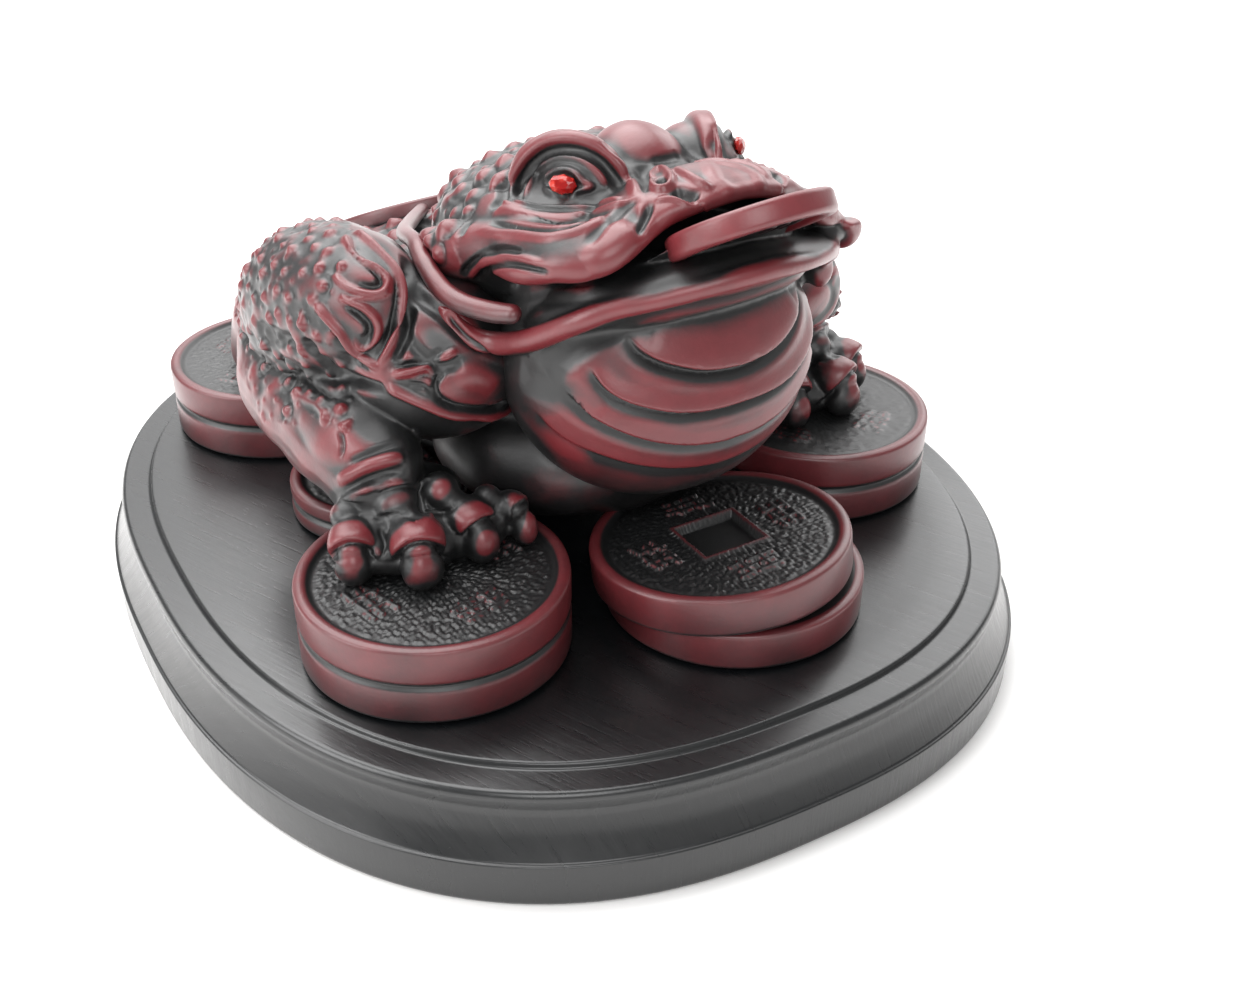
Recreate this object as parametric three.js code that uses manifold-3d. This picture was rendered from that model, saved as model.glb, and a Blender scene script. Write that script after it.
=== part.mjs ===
// Three-legged money toad: a dark red resin casting of a warty toad crouching on piles of coins,
// on a black oval wooden plinth, with a loose coin in its mouth and two faceted glass eyes.
// Millimetres, +Z up. The origin is the middle of the plinth's underside, and the toad looks towards -Y.
import * as THREE from "three";
import { mergeVertices } from "three/addons/utils/BufferGeometryUtils.js";
import Module from "manifold-3d";

const wasm = await Module();
wasm.setup();

// Plinth: an oval board with a raised field, a rounded rim, a cove and a lower band
const plinthLength = 147;
const plinthWidth = 127;
const plinthHeight = 15.8;
const plinthSquareness = 2.44; // exponent of the oval: 2 is an ellipse, more is squarer
const plinthSides = 40;
const fieldInset = 6.8;
const fieldStep = 0.7;
const rimInset = 2.3;
const coveDepth = 1.0;
const ledge = 0.9;
const lowerBandHeight = 6.2;
const softEdge = 0.5;

// Floor coins: large ones under the hands, before the chest and under the haunches
const coinDiameter = 35;
const coinThickness = 5.35;
const coinRim = 2.6;
const coinRecess = 1.2;
const coinHole = 8.8;
const coinStroke = 0.9;
const pileGroove = 0.7; // half the height of the groove between two coins
const grooveDepth = 0.7;
const coinSides = 18;
const hiddenSides = 12;
const smallCoinDiameter = 26;
const smallCoinThickness = 2.75;
const backCoinDiameter = 28;
const backCoinThickness = 2.6;
const backCoinRecess = 0.7;
const backCoinHole = 5;
const handPile = [35, 0];
const handStagger = 3.4; // the right hand's pile is this far forward, the left one's as far back
const chestPile = [1.4, -16.5];
const sideTuck = 12.5; // the small coins' inner edge, from the middle plane, is under the belly
const sidePile = [sideTuck + smallCoinDiameter / 2, 31.4];
const haunchPile = [25, 67];
const backCoinY = 62;
const backCoinSink = 2.5; // how far the middle of the coin's underside is let into the back
const backCoinLean = 25;
const chestShift = [1.6, -0.5]; // the lower chest coin, from the upper one
const chestLean = { forward: -5.9, across: -3.3 }; // the upper chest coin is lower at its back and right
const chestHoleTurn = -8.6;

// Coin held in the mouth, which tips up with the jaws
const biteDiameter = 20;
const biteThickness = 2.9;
const biteRim = 2;
const biteEdge = 0.7;
const biteRecess = 0.7;
const biteSides = 22;
const biteClearance = 0.3;
const biteForward = 20.8;
const biteRise = 54.1;
const biteTilt = 31.5;

// Toad: its own frame is turned and set on the plinth, with x to its left, y to its back and z up
const toadTurn = 5;
const toadX = 2.6;
const toadY = -25.5;
const glueFilm = 0.3;
const eyeSpread = 13.4;
const gemDiameter = 4.2;
const gemHeight = 2.2;
const gemClearance = 0.3;
const cordDiameter = 2.4;
const lipThickness = 2.8;
const toeThickness = 6;

const degrees = THREE.MathUtils.degToRad;
const vector = (p) => new THREE.Vector3(...p);

// A closed three.js geometry as a solid that can be joined and cut
function solid(geometry) {
  const bare = new THREE.BufferGeometry();
  bare.setAttribute("position", geometry.getAttribute("position"));
  bare.setIndex(geometry.index);
  const merged = mergeVertices(bare, 1e-4);
  return new wasm.Manifold(
    new wasm.Mesh({
      numProp: 3,
      vertProperties: merged.attributes.position.array,
      triVerts: new Uint32Array(merged.index.array),
    }),
  );
}

const join = (solids) => solids.reduce((whole, next) => whole.add(next));
const bothSides = (make) => join([make(1), make(-1)]);

// A solid's surface as a flat-shaded three.js geometry
function surface(made) {
  const mesh = made.getMesh();
  const corners = new Float32Array(mesh.numVert * 3);
  for (let i = 0; i < mesh.numVert; i++) {
    corners.set(mesh.vertProperties.subarray(i * mesh.numProp, i * mesh.numProp + 3), i * 3);
  }
  const geometry = new THREE.BufferGeometry();
  geometry.setAttribute("position", new THREE.BufferAttribute(corners, 3));
  geometry.setIndex(new THREE.BufferAttribute(mesh.triVerts, 1));
  geometry.computeVertexNormals();
  return geometry;
}

// An egg: a sphere stretched to three radii, pitched about x, rolled about y and turned about z
function egg(centre, radii, { pitch = 0, roll = 0, turn = 0, detail = 3 } = {}) {
  const geometry = new THREE.IcosahedronGeometry(1, detail);
  geometry.scale(...radii);
  const angles = new THREE.Euler(degrees(pitch), degrees(roll), degrees(turn), "ZYX");
  geometry.applyMatrix4(new THREE.Matrix4().makeRotationFromEuler(angles));
  geometry.translate(...centre);
  return solid(geometry);
}

// A limb: a capsule bent along a curve, with its own thickness at each point, that never runs along aside
function limb(points, radii, { sides = 7, steps = 6, caps = 2, aside = [0, 0, 1] } = {}) {
  const curve = new THREE.CatmullRomCurve3(points.map(vector), false, "centripetal");
  const geometry = new THREE.CapsuleGeometry(1, 1, caps, sides, steps);
  const position = geometry.getAttribute("position");
  const across = new THREE.Vector3();
  const up = new THREE.Vector3();
  const thick = (t) => {
    const place = t * (radii.length - 1);
    const before = Math.min(Math.floor(place), radii.length - 2);
    return THREE.MathUtils.lerp(radii[before], radii[before + 1], place - before);
  };
  for (let i = 0; i < position.count; i++) {
    const along = position.getY(i) + 0.5;
    const t = THREE.MathUtils.clamp(along, 0, 1);
    const centre = curve.getPointAt(t);
    const tangent = curve.getTangentAt(t);
    across.fromArray(aside).cross(tangent).normalize();
    up.crossVectors(tangent, across);
    const r = thick(t);
    centre.addScaledVector(tangent, (along - t) * r);
    centre.addScaledVector(across, position.getX(i) * r);
    centre.addScaledVector(up, -position.getZ(i) * r);
    position.setXYZ(i, centre.x, centre.y, centre.z);
  }
  return solid(geometry);
}

// A limb that crosses the middle: its points run from the middle to the toad's left end
function bow(half, radii, options) {
  const right = half.slice(1).reverse().map(([x, y, z]) => [-x, y, z]);
  return limb([...right, ...half], [...radii.slice(1).reverse(), ...radii], options);
}

const flip = (s, points) => points.map(([x, y, z]) => [s * x, y, z]);

// A lathe turned about z from [radius, height] pairs
function turned(profile, sides) {
  const geometry = new THREE.LatheGeometry(profile.map(([r, z]) => new THREE.Vector2(r, z)), sides);
  geometry.rotateX(Math.PI / 2);
  return geometry;
}

// The plinth is a lathe whose rings are then moved onto inset ovals
function plinth() {
  const top = plinthHeight;
  const rimTop = top - fieldStep;
  const coveHeight = rimTop - lowerBandHeight;
  const insets = [
    [softEdge, 0],
    [0, softEdge],
    [0, lowerBandHeight - softEdge],
    [ledge / 2, lowerBandHeight],
    [ledge + coveDepth, lowerBandHeight + coveHeight * 0.35],
    [rimInset + coveDepth * 0.6, lowerBandHeight + coveHeight * 0.65],
    [rimInset, rimTop - softEdge * 1.6],
    [rimInset + softEdge, rimTop],
    [fieldInset, rimTop - softEdge * 0.2],
    [fieldInset, top],
  ];
  const hub = plinthLength * 4;
  const profile = [[0, 0], ...insets.map(([inset, z]) => [hub - inset, z]), [0, top]];
  const geometry = turned(profile, plinthSides);
  const position = geometry.getAttribute("position");
  const oval = (c) => Math.sign(c) * Math.abs(c) ** (2 / plinthSquareness);
  const tidy = (c) => Math.round(c * 1e6) / 1e6;
  for (let i = 0; i < position.count; i++) {
    const x = position.getX(i);
    const y = position.getY(i);
    const radius = Math.hypot(x, y);
    if (radius < hub / 2) continue;
    position.setX(i, oval(tidy(x / radius)) * (plinthWidth / 2 - hub + radius));
    position.setY(i, oval(tidy(y / radius)) * (plinthLength / 2 - hub + radius));
  }
  return solid(geometry);
}

// A pile of equal coins as one turned form, with a groove between coins and a sunk face on top
function pile([x, y], diameter, thickness, { count = 2, recess = coinRecess, sides = coinSides } = {}) {
  const r = diameter / 2;
  const profile = [[0, 0], [r, 0]];
  for (let i = 1; i < count; i++) {
    const seam = i * thickness;
    profile.push([r, seam - pileGroove], [r - grooveDepth, seam], [r, seam + pileGroove]);
  }
  const top = count * thickness;
  profile.push([r, top], [r - coinRim, top]);
  if (recess > 0) profile.push([r - coinRim, top - recess]);
  profile.push([0, top - recess]);
  return solid(turned(profile, sides).translate(x, y, 0));
}

// Rows of shallow strokes round the hole of a coin, in place of an inscription
function strokes(radius, height, rise) {
  const made = [];
  for (const turn of [0, 90, 180, 270]) {
    for (const row of [-1, 0, 1]) {
      const bar = new THREE.BoxGeometry(radius * 0.26, coinStroke, rise * 2);
      bar.translate(0, row * coinStroke * 1.8 - radius * 0.62, height);
      made.push(solid(bar.rotateZ(degrees(turn))));
    }
  }
  return join(made);
}

// The chest pile: a flat lower coin, and an upper one with a square hole, shifted and leant
function chest() {
  const [x, y] = chestPile;
  const place = [x + chestShift[0], y + chestShift[1]];
  const lower = pile(place, coinDiameter, coinThickness, { count: 1, recess: 0 });
  const face = coinThickness - coinRecess;
  const hole = new THREE.BoxGeometry(coinHole, coinHole, coinRecess * 2).translate(0, 0, face);
  const upper = pile([0, 0], coinDiameter, coinThickness, { count: 1 })
    .subtract(solid(hole))
    .add(strokes(coinDiameter / 2, face, coinRecess / 2))
    .rotate(0, 0, chestHoleTurn)
    .rotate(chestLean.forward, chestLean.across, 0)
    .translate(x, y, coinThickness - pileGroove);
  return lower.add(upper);
}

function piles() {
  const made = [chest()];
  for (const s of [1, -1]) {
    const hidden = { sides: hiddenSides };
    const seen = s > 0 ? hidden : {};
    made.push(pile([s * handPile[0], handPile[1] + s * handStagger], coinDiameter, coinThickness));
    made.push(pile([s * sidePile[0], sidePile[1]], smallCoinDiameter, smallCoinThickness, hidden));
    made.push(pile([s * haunchPile[0], haunchPile[1]], coinDiameter, coinThickness, seen));
  }
  return join(made);
}

// Body, haunches and belly
const trunk = { centre: [0, 40.4, 20.1], radii: [28.3, 45.8, 17.8], pitch: -12 };

// Height of the back over the middle plane, from the trunk's egg
function backHeight(y) {
  const [, cy, cz] = trunk.centre;
  const [, a, b] = trunk.radii;
  const [c, s] = [Math.cos(degrees(trunk.pitch)), Math.sin(degrees(trunk.pitch))];
  const d = y - cy;
  const square = (s / a) ** 2 + (c / b) ** 2;
  const slope = d * c * s * (1 / a ** 2 - 1 / b ** 2);
  const rest = ((d * c) / a) ** 2 + ((d * s) / b) ** 2 - 1;
  return cz + (-slope + Math.sqrt(slope ** 2 - square * rest)) / square;
}

const onBack = (made) => {
  const z = backHeight(backCoinY) - backCoinSink;
  return made.rotate(-backCoinLean, 0, 0).translate(0, backCoinY, z);
};

function backCoin() {
  const kind = { count: 1, recess: backCoinRecess, sides: hiddenSides };
  const coin = pile([0, 0], backCoinDiameter, backCoinThickness, kind);
  const hole = new THREE.BoxGeometry(backCoinHole, backCoinHole, backCoinThickness);
  hole.translate(0, 0, backCoinThickness - backCoinRecess);
  return onBack(coin.subtract(solid(hole)));
}

// The back is flat under the coin
function backSeat() {
  const r = backCoinDiameter / 2;
  const low = backCoinThickness / 2;
  const profile = [[0, low], [r, low], [r, backCoinThickness * 4], [0, backCoinThickness * 4]];
  return onBack(solid(turned(profile, hiddenSides)));
}

function body() {
  return join([
    egg(trunk.centre, trunk.radii, { pitch: trunk.pitch, detail: 3 }).subtract(backSeat()),
    egg([0, 12, 15.5], [24, 19, 11.5], { detail: 1 }),
    bothSides((s) => egg([s * 24, 57, 15], [10.5, 19, 12.5], { pitch: -10, detail: 1 })),
  ]);
}

// The hanging throat, with rolls that sag between the jaws
const rolls = [
  [[0, -19.4, 33.1], [8, -17.6, 34.2], [13, -14.6, 36.5], [15.6, -11, 39]],
  [[0, -19.2, 29.2], [9, -17, 30.8], [15.5, -12, 34.2], [18.4, -7.5, 37]],
  [[0, -18.2, 24.8], [9, -16, 26.4], [16, -11, 29.8], [20, -4, 33]],
];
const rollRadii = [2, 1.9, 1.6, 0.6];

function throat() {
  const bag = egg([0, -2.7, 32.6], [21.6, 17.7, 20], { pitch: -8.5, detail: 3 });
  const jaw = egg([0, -6, 41.5], [20.5, 17, 5], { pitch: -28, detail: 1 });
  const neck = egg([0, 12, 36], [19, 7, 7], { detail: 1 });
  const kind = { sides: 4, steps: 8, caps: 1 };
  return join([bag, jaw, neck, ...rolls.map((half) => bow(half, rollRadii, kind))]);
}

// Jaws: the lips run from the middle of the mouth back to its corners
const upperLip = [
  [0, -18.4, 57.4],
  [5, -17.8, 56.9],
  [10, -15.9, 55.1],
  [15.6, -15, 52.1],
  [19.8, -11.6, 49.6],
  [21.8, -6, 47.5],
  [21.4, 1, 46.2],
];
const lowerLip = [
  [0, -24, 49.8],
  [6, -22.8, 49.2],
  [12, -19.6, 47.6],
  [16.5, -16, 46],
  [19.6, -12.8, 43.8],
  [21.5, -6.5, 40.2],
  [22, 0, 37.5],
  [21, 5.5, 35.2],
];
const cranium = { centre: [0, 9.4, 45.3], radii: [22.4, 26.6, 12], pitch: -10 };
const shoulder = { centre: [32, 27.4, 34.8], radii: [10.2, 21.6, 11], pitch: -20 };

function head() {
  return join([
    egg(cranium.centre, cranium.radii, { pitch: cranium.pitch, detail: 3 }),
    egg([0, -10, 51.6], [15, 11.4, 6], { pitch: -24, detail: 1 }),
    egg([0, 2, 55], [6, 7, 5.4], { detail: 1 }),
    bothSides((s) => egg([s * 8.8, 1.5, 54.4], [4.7, 6.8, 5.4], { detail: 1 })),
  ]);
}

function lips() {
  return join([
    bow(upperLip, [1, 1.1, 1.4, 2, 2.1, 2, 1.4], { sides: 5, steps: 12, caps: 1 }),
    bow(lowerLip, lowerLip.map(() => lipThickness / 2), { sides: 5, steps: 12, caps: 1 }),
  ]);
}

function mouthGap() {
  return join([
    egg([0, -6, 47], [22.4, 17, 2.4], { pitch: -biteTilt, detail: 1 }),
    egg([0, -14, 53], [12, 11, 3.4], { pitch: -biteTilt, detail: 1 }),
  ]);
}

// Brows, lids and nostrils
const brow = [[14.6, 8, 52.5], [12.8, 6.6, 57.2], [10.5, 3, 59.2], [8.8, -1, 58.9], [7.2, -5, 55.4]];
const lid = [[17.6, 5, 51], [18, -1.6, 51.6], [15, -7.6, 53], [10.4, -11, 54.6]];

function features(s) {
  const nostril = new THREE.TorusGeometry(1.2, 0.6, 3, 6);
  nostril.rotateX(degrees(50));
  nostril.rotateZ(degrees(s * 30));
  nostril.translate(s * 5.4, -10.4, 57.8);
  return join([
    limb(flip(s, brow), [1.2, 1.5, 1.6, 1.5, 1.1], { sides: 5, steps: 5, caps: 1 }),
    limb(flip(s, lid), [0.8, 1.5, 1.5, 0.8], { sides: 4, steps: 4, caps: 1 }),
    solid(nostril),
  ]);
}

// The cord comes out of the corner of the mouth, over the shoulder and down to the coin on the back
const cordPath = [
  [21, -3.4, 41.4],
  [23.4, 3, 40.4],
  [24.6, 10, 41.8],
  [23.6, 17, 43.4],
  [20, 27, 42],
  [13, 39, 38.6],
  [6, 50, 35.6],
];

// Arm: the upper arm lies back along the flank, and the forearm comes forward to the hand
function arm(s) {
  const [x, ...yz] = shoulder.centre;
  const reach = s > 0 ? handStagger * 2 : 0;
  const forearm = [
    [s * 32.4, 44, 27.4],
    [s * 36.2, 35, 22],
    [s * 37, 20 + reach / 2, 21],
    [s * 36.6, 7 + reach, 19],
  ];
  return join([
    egg([s * x, ...yz], shoulder.radii, { pitch: shoulder.pitch, detail: 2 }),
    egg([s * 25, 13, 32], [12, 13, 11.4], { detail: 1 }),
    egg([s * 36, 14 + reach / 4, 23 + reach / 4], [6.8, 13, 7], { pitch: 10, detail: 1 }),
    limb(forearm, [5.6, 7, 6.8, 6], { sides: 7, steps: 4, caps: 2 }),
  ]);
}

// Hand: four toes, each with a round knuckle and a blunt pad that stands on the coin
const toes = [
  { root: [-6, 7, 17], knuckle: [-8.2, 2, 16.6], tip: [-9, 0.2, 11.2] },
  { root: [-2.6, 5, 20], knuckle: [-2, -3.4, 17.6], tip: [-2.5, -6, 11.2] },
  { root: [3, 5, 20.6], knuckle: [6.2, -2.4, 17.8], tip: [6.2, -6.2, 11.2] },
  { root: [5, 7, 19.4], knuckle: [11, -2.6, 17.4], tip: [14, -3.6, 11.2] },
];

function toe(points) {
  const kind = { sides: 6, steps: 3, caps: 1, aside: [1, 0, 0] };
  return limb(points, [2.4, toeThickness / 2, toeThickness * 0.38], kind);
}

function hand(s) {
  const wrist = handPile[0];
  const reach = s > 0 ? handStagger * 2 : 0;
  const spot = ([x, y, z]) => [s * (wrist - x), y + reach, z];
  return join([
    egg([s * (wrist - 1), 5 + reach, 17.5], [8.4, 7, 5.6], { detail: 1 }),
    ...toes.map(({ root, knuckle, tip }) => toe([root, knuckle, tip].map(spot))),
  ]);
}

// The one hind leg comes out under the rump and stands on the plinth
function hindLeg() {
  const splay = [-7, 0, 7];
  const kind = { sides: 7, steps: 3, caps: 1, aside: [1, 0, 0] };
  return join([
    limb([[0, 72, 16], [0, 79, 9], [0, 82, 5]], [8, 6.4, 4.6], kind),
    ...splay.map((x) => toe([[x * 0.4, 80, 5], [x, 85, 4.6], [x * 1.1, 87.4, 2.4]])),
  ]);
}

// Warts: hemispherical beads on the shoulder, the elbow and the back of the head
const wartSize = 2.6;
const wartFields = [
  { on: shoulder, rows: 2, across: 4, up: [25, 65], along: [0, 65] },
  { on: cranium, rows: 2, across: 1, up: [38, 58], along: [35, 55] },
];

function warts(s) {
  const made = [];
  for (const { on, rows, across, up, along } of wartFields) {
    for (let i = 0; i < rows; i++) {
      for (let j = 0; j < across; j++) {
        const rise = degrees(THREE.MathUtils.lerp(up[0], up[1], i / (rows - 1)));
        const aft = degrees(THREE.MathUtils.lerp(along[0], along[1], (j + (i % 2) / 2) / across));
        const out = new THREE.Vector3().setFromSphericalCoords(1, Math.PI / 2 - aft, rise);
        out.set(out.z, out.y, out.x).multiply(vector(on.radii));
        out.applyAxisAngle(new THREE.Vector3(1, 0, 0), degrees(on.pitch)).add(vector(on.centre));
        const bead = new THREE.IcosahedronGeometry(wartSize / 2, 0);
        made.push(solid(bead.translate(s * out.x, out.y, out.z)));
      }
    }
  }
  return join(made);
}

// Eye glass: a faceted cone that is set into a socket on the side of the brow
const gemPlace = [eyeSpread, -1.4, 55.9];
const gemFacing = [0.8, -0.52, 0.3];

function gem(s, grow = 0) {
  const r = gemDiameter / 2 + grow;
  const h = gemHeight + grow;
  const cut = turned([[0, -h * 0.6], [r, 0], [r * 0.62, h * 0.4], [0, h * 0.4]], 8);
  const facing = new THREE.Quaternion().setFromUnitVectors(
    new THREE.Vector3(0, 0, 1),
    vector(gemFacing).multiply(new THREE.Vector3(s, 1, 1)).normalize(),
  );
  cut.applyQuaternion(facing).translate(s * gemPlace[0], gemPlace[1], gemPlace[2]);
  return solid(cut);
}

function bite(grow = 0) {
  const r = biteDiameter / 2 + grow;
  const t = biteThickness / 2 + grow;
  const face = t - (grow > 0 ? 0 : biteRecess);
  const inner = r - biteRim;
  const half = [[0, face], [inner, face], [inner + 0.1, t], [r - biteEdge, t], [r, t - biteEdge]];
  const under = half.map(([radius, z]) => [radius, -z]);
  const disc = solid(turned([...under, ...half.reverse()], biteSides));
  return disc.rotate(-biteTilt, 0, 0).translate(0, -biteForward, biteRise);
}

const cord = (s) => {
  const radii = [cordDiameter / 2, cordDiameter / 2];
  return limb(flip(s, cordPath), radii, { sides: 5, steps: 9, caps: 1 });
};

const casting = join([
  piles(),
  body(),
  throat(),
  head().subtract(mouthGap()),
  lips(),
  backCoin(),
  bothSides(features),
  bothSides(cord),
  bothSides(arm),
  bothSides(hand),
  hindLeg(),
  bothSides(warts),
])
  .subtract(bite(biteClearance))
  .subtract(bothSides((s) => gem(s, gemClearance)));

const plinthMaterial = new THREE.MeshStandardMaterial({ color: 0x1d1e20, roughness: 0.45, metalness: 0 });
const gemMaterial = new THREE.MeshStandardMaterial({ color: 0xd8201c, roughness: 0.05, metalness: 0 });
const resinMaterial = new THREE.MeshStandardMaterial({ color: 0x6b2026, roughness: 0.35, metalness: 0 });

const toad = new THREE.Group();
toad.position.set(toadX, toadY, plinthHeight + glueFilm);
toad.rotation.z = degrees(toadTurn);

function add(parent, name, made, material) {
  const mesh = new THREE.Mesh(surface(made), material);
  mesh.name = name;
  parent.add(mesh);
}

const part = new THREE.Group();
add(part, "plinth", plinth(), plinthMaterial);
add(toad, "toad_casting", casting, resinMaterial);
add(toad, "mouth_coin", bite(), resinMaterial);
add(toad, "eye_gem_right", gem(-1), gemMaterial);
add(toad, "eye_gem_left", gem(1), gemMaterial);
part.add(toad);

export default part;
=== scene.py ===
# A money toad on coins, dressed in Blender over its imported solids
# %% [markdown]
# The object is a desk figure of a three-legged toad. One resin casting holds the toad and its
# piles of coins, a loose coin sits in the mouth, two cut glass stones are the eyes, and all of
# it stands on a black lacquered board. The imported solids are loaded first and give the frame:
# every size below is in millimetres, and each finished piece is put into that frame in metres.
# %% Load the frame
import math

import bpy
import numpy as np
from mathutils import Matrix, Vector
from mathutils.bvhtree import BVHTree
from mathutils.kdtree import KDTree
from mathutils.noise import noise as noise_3d


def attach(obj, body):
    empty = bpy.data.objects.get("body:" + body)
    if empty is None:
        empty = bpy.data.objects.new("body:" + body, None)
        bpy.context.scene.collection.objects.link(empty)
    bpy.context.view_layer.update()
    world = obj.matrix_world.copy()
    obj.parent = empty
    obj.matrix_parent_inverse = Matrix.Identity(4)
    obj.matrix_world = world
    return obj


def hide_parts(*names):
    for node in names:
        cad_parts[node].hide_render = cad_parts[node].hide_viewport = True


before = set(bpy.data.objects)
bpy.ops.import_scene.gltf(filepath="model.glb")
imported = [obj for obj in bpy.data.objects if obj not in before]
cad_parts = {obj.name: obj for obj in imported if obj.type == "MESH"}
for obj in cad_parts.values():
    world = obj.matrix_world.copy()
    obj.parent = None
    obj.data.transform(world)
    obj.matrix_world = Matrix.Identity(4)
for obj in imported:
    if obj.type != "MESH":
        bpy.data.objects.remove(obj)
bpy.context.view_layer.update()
MM = 0.001
print("solids loaded:", ", ".join(sorted(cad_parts)))

# %% [markdown]
# ## Camera
# The photograph's camera was solved from the oval of the board and the rims of the coins. It
# stands before the toad's right hand and looks down by about 31 degrees. The same numbers also
# turn a pixel of the photograph into a line of sight, which is used later to put each carved line
# where it is seen, on the surface that carries it.
# %% Camera at the photograph's place
PHOTO_WIDTH, PHOTO_HEIGHT = 1239, 997
FOCAL_PIXELS = 1409.63
VIEW_TURN, VIEW_DROP, VIEW_ROLL = math.radians(-30.327), math.radians(31.364), math.radians(0.447)
VIEW_TARGET = np.array([-8.765, -38.731, 33.745])
VIEW_DISTANCE = 179.017
SENSOR_MM = 36.0

view_back = np.array([
    math.sin(VIEW_TURN) * math.cos(VIEW_DROP),
    -math.cos(VIEW_TURN) * math.cos(VIEW_DROP),
    math.sin(VIEW_DROP),
])
level_right = np.array([math.cos(VIEW_TURN), math.sin(VIEW_TURN), 0.0])
level_up = np.cross(view_back, level_right)
view_right = level_right * math.cos(VIEW_ROLL) + level_up * math.sin(VIEW_ROLL)
view_up = np.cross(view_back, view_right)
view_point = VIEW_TARGET + view_back * VIEW_DISTANCE


def place_camera():
    """Adds the camera at the solved place and makes it the scene's own"""
    bpy.ops.object.camera_add()
    camera = bpy.context.object
    camera.name = "photo_camera"
    columns = np.column_stack([view_right, view_up, view_back])
    camera.matrix_world = Matrix.Translation(view_point * MM) @ Matrix(columns.tolist()).to_4x4()
    camera.data.sensor_width = SENSOR_MM
    camera.data.lens = FOCAL_PIXELS / PHOTO_WIDTH * SENSOR_MM
    camera.data.clip_start = 0.01
    camera.data.clip_end = 20.0
    bpy.context.scene.camera = camera


place_camera()
print("camera at", (view_point * MM).round(4).tolist())

# %% [markdown]
# ## The toad's own frame
# The casting is glued to the board a little askew, so it is simplest to model it in a frame of
# its own: x to the toad's left, y to its back, z up from the board. One matrix takes a finished
# piece from there to the object's frame, and its opposite brings a line of sight back.
# %% Frames
TOAD_TURN = math.radians(5)
TOAD_PLACE = Vector((2.6, -25.5, 16.1))
to_row = Matrix.Translation(TOAD_PLACE) @ Matrix.Rotation(TOAD_TURN, 4, "Z")
to_toad = np.array(to_row.inverted())
eye_point = to_toad[:3, :3] @ view_point + to_toad[:3, 3]


def sight(pixel):
    """The direction, in the toad's frame, in which the camera sees a pixel of the photograph"""
    across = (pixel[0] - PHOTO_WIDTH / 2) / FOCAL_PIXELS
    down = (pixel[1] - PHOTO_HEIGHT / 2) / FOCAL_PIXELS
    ray = to_toad[:3, :3] @ (-view_back + view_right * across - view_up * down)
    return ray / np.linalg.norm(ray)


def in_photo(points):
    """The pixels of the photograph where these points of the toad's frame are seen"""
    turned = (points - eye_point) @ to_toad[:3, :3]
    depth = -(turned @ view_back)
    across = PHOTO_WIDTH / 2 + FOCAL_PIXELS * (turned @ view_right) / depth
    down = PHOTO_HEIGHT / 2 - FOCAL_PIXELS * (turned @ view_up) / depth
    return np.column_stack([across, down])


def to_right(points):
    """Points of both sides, taken to the toad's right side, which the photograph shows"""
    return np.column_stack([-np.abs(points[:, 0]), points[:, 1:]])


def enclosed(pixels, outline):
    """Which pixels lie inside an outline of pixels"""
    u, v = pixels.T
    inside = np.zeros(len(u), bool)
    for (u0, v0), (u1, v1) in zip(outline, outline[1:] + outline[:1]):
        if v0 == v1:
            continue
        crosses = (v > min(v0, v1)) & (v <= max(v0, v1))
        inside ^= crosses & (u < u0 + (v - v0) * (u1 - u0) / (v1 - v0))
    return inside


def settle(piece, turned=True):
    """Takes a finished piece from millimetres to metres, and from the toad's frame to the object's"""
    move = to_row if turned else Matrix.Identity(4)
    piece.data.transform(Matrix.Scale(MM, 4) @ move)
    piece.data.update()


print("the camera in the toad's frame:", eye_point.round(2).tolist())

# %% [markdown]
# ## Clay for the toad
# A carved figure is built as a sculptor blocks it out: rounded lumps for the masses, bent rolls
# for the limbs and lips, all fused into one skin. Blender's voxel remesh does the fusing, and it
# leaves an even net of small faces that can be pressed and raised afterwards.
# %% Lumps and limbs
def egg(centre, radii, pitch=0.0, detail=5):
    """A stretched sphere, pitched about the x axis"""
    turn = (math.radians(pitch), 0, 0)
    bpy.ops.mesh.primitive_ico_sphere_add(
        subdivisions=detail, radius=1, location=centre, rotation=turn, scale=radii)
    return bpy.context.object


def ramp(values, start, end):
    """0 at the start, 1 at the end and beyond it, smooth between"""
    t = np.clip((values - start) / (end - start), 0, 1)
    return t * t * (3 - 2 * t)


def spaced(points, sizes, step):
    """Points at an even step along a smooth curve through the given ones, with their sizes"""
    points = np.array(points, float)
    sizes = np.array(sizes, float)
    if len(points) < 2:
        return points, sizes
    ends = np.vstack([2 * points[0] - points[1], points, 2 * points[-1] - points[-2]])
    curve, thick = [], []
    for i in range(len(points) - 1):
        a, b, c, d = ends[i:i + 4]
        count = max(2, int(np.linalg.norm(c - b) / step) + 1)
        for t in np.linspace(0, 1, count, endpoint=False):
            curve.append(0.5 * (2 * b + (c - a) * t + (2 * a - 5 * b + 4 * c - d) * t * t
                                + (3 * b - a - 3 * c + d) * t ** 3))
            thick.append(sizes[i] * (1 - t) + sizes[i + 1] * t)
    return np.vstack([curve, points[-1]]), np.append(thick, sizes[-1])


def unit(vectors):
    """The same directions, one long"""
    return vectors / np.maximum(np.linalg.norm(vectors, axis=-1, keepdims=True), 1e-9)


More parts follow.
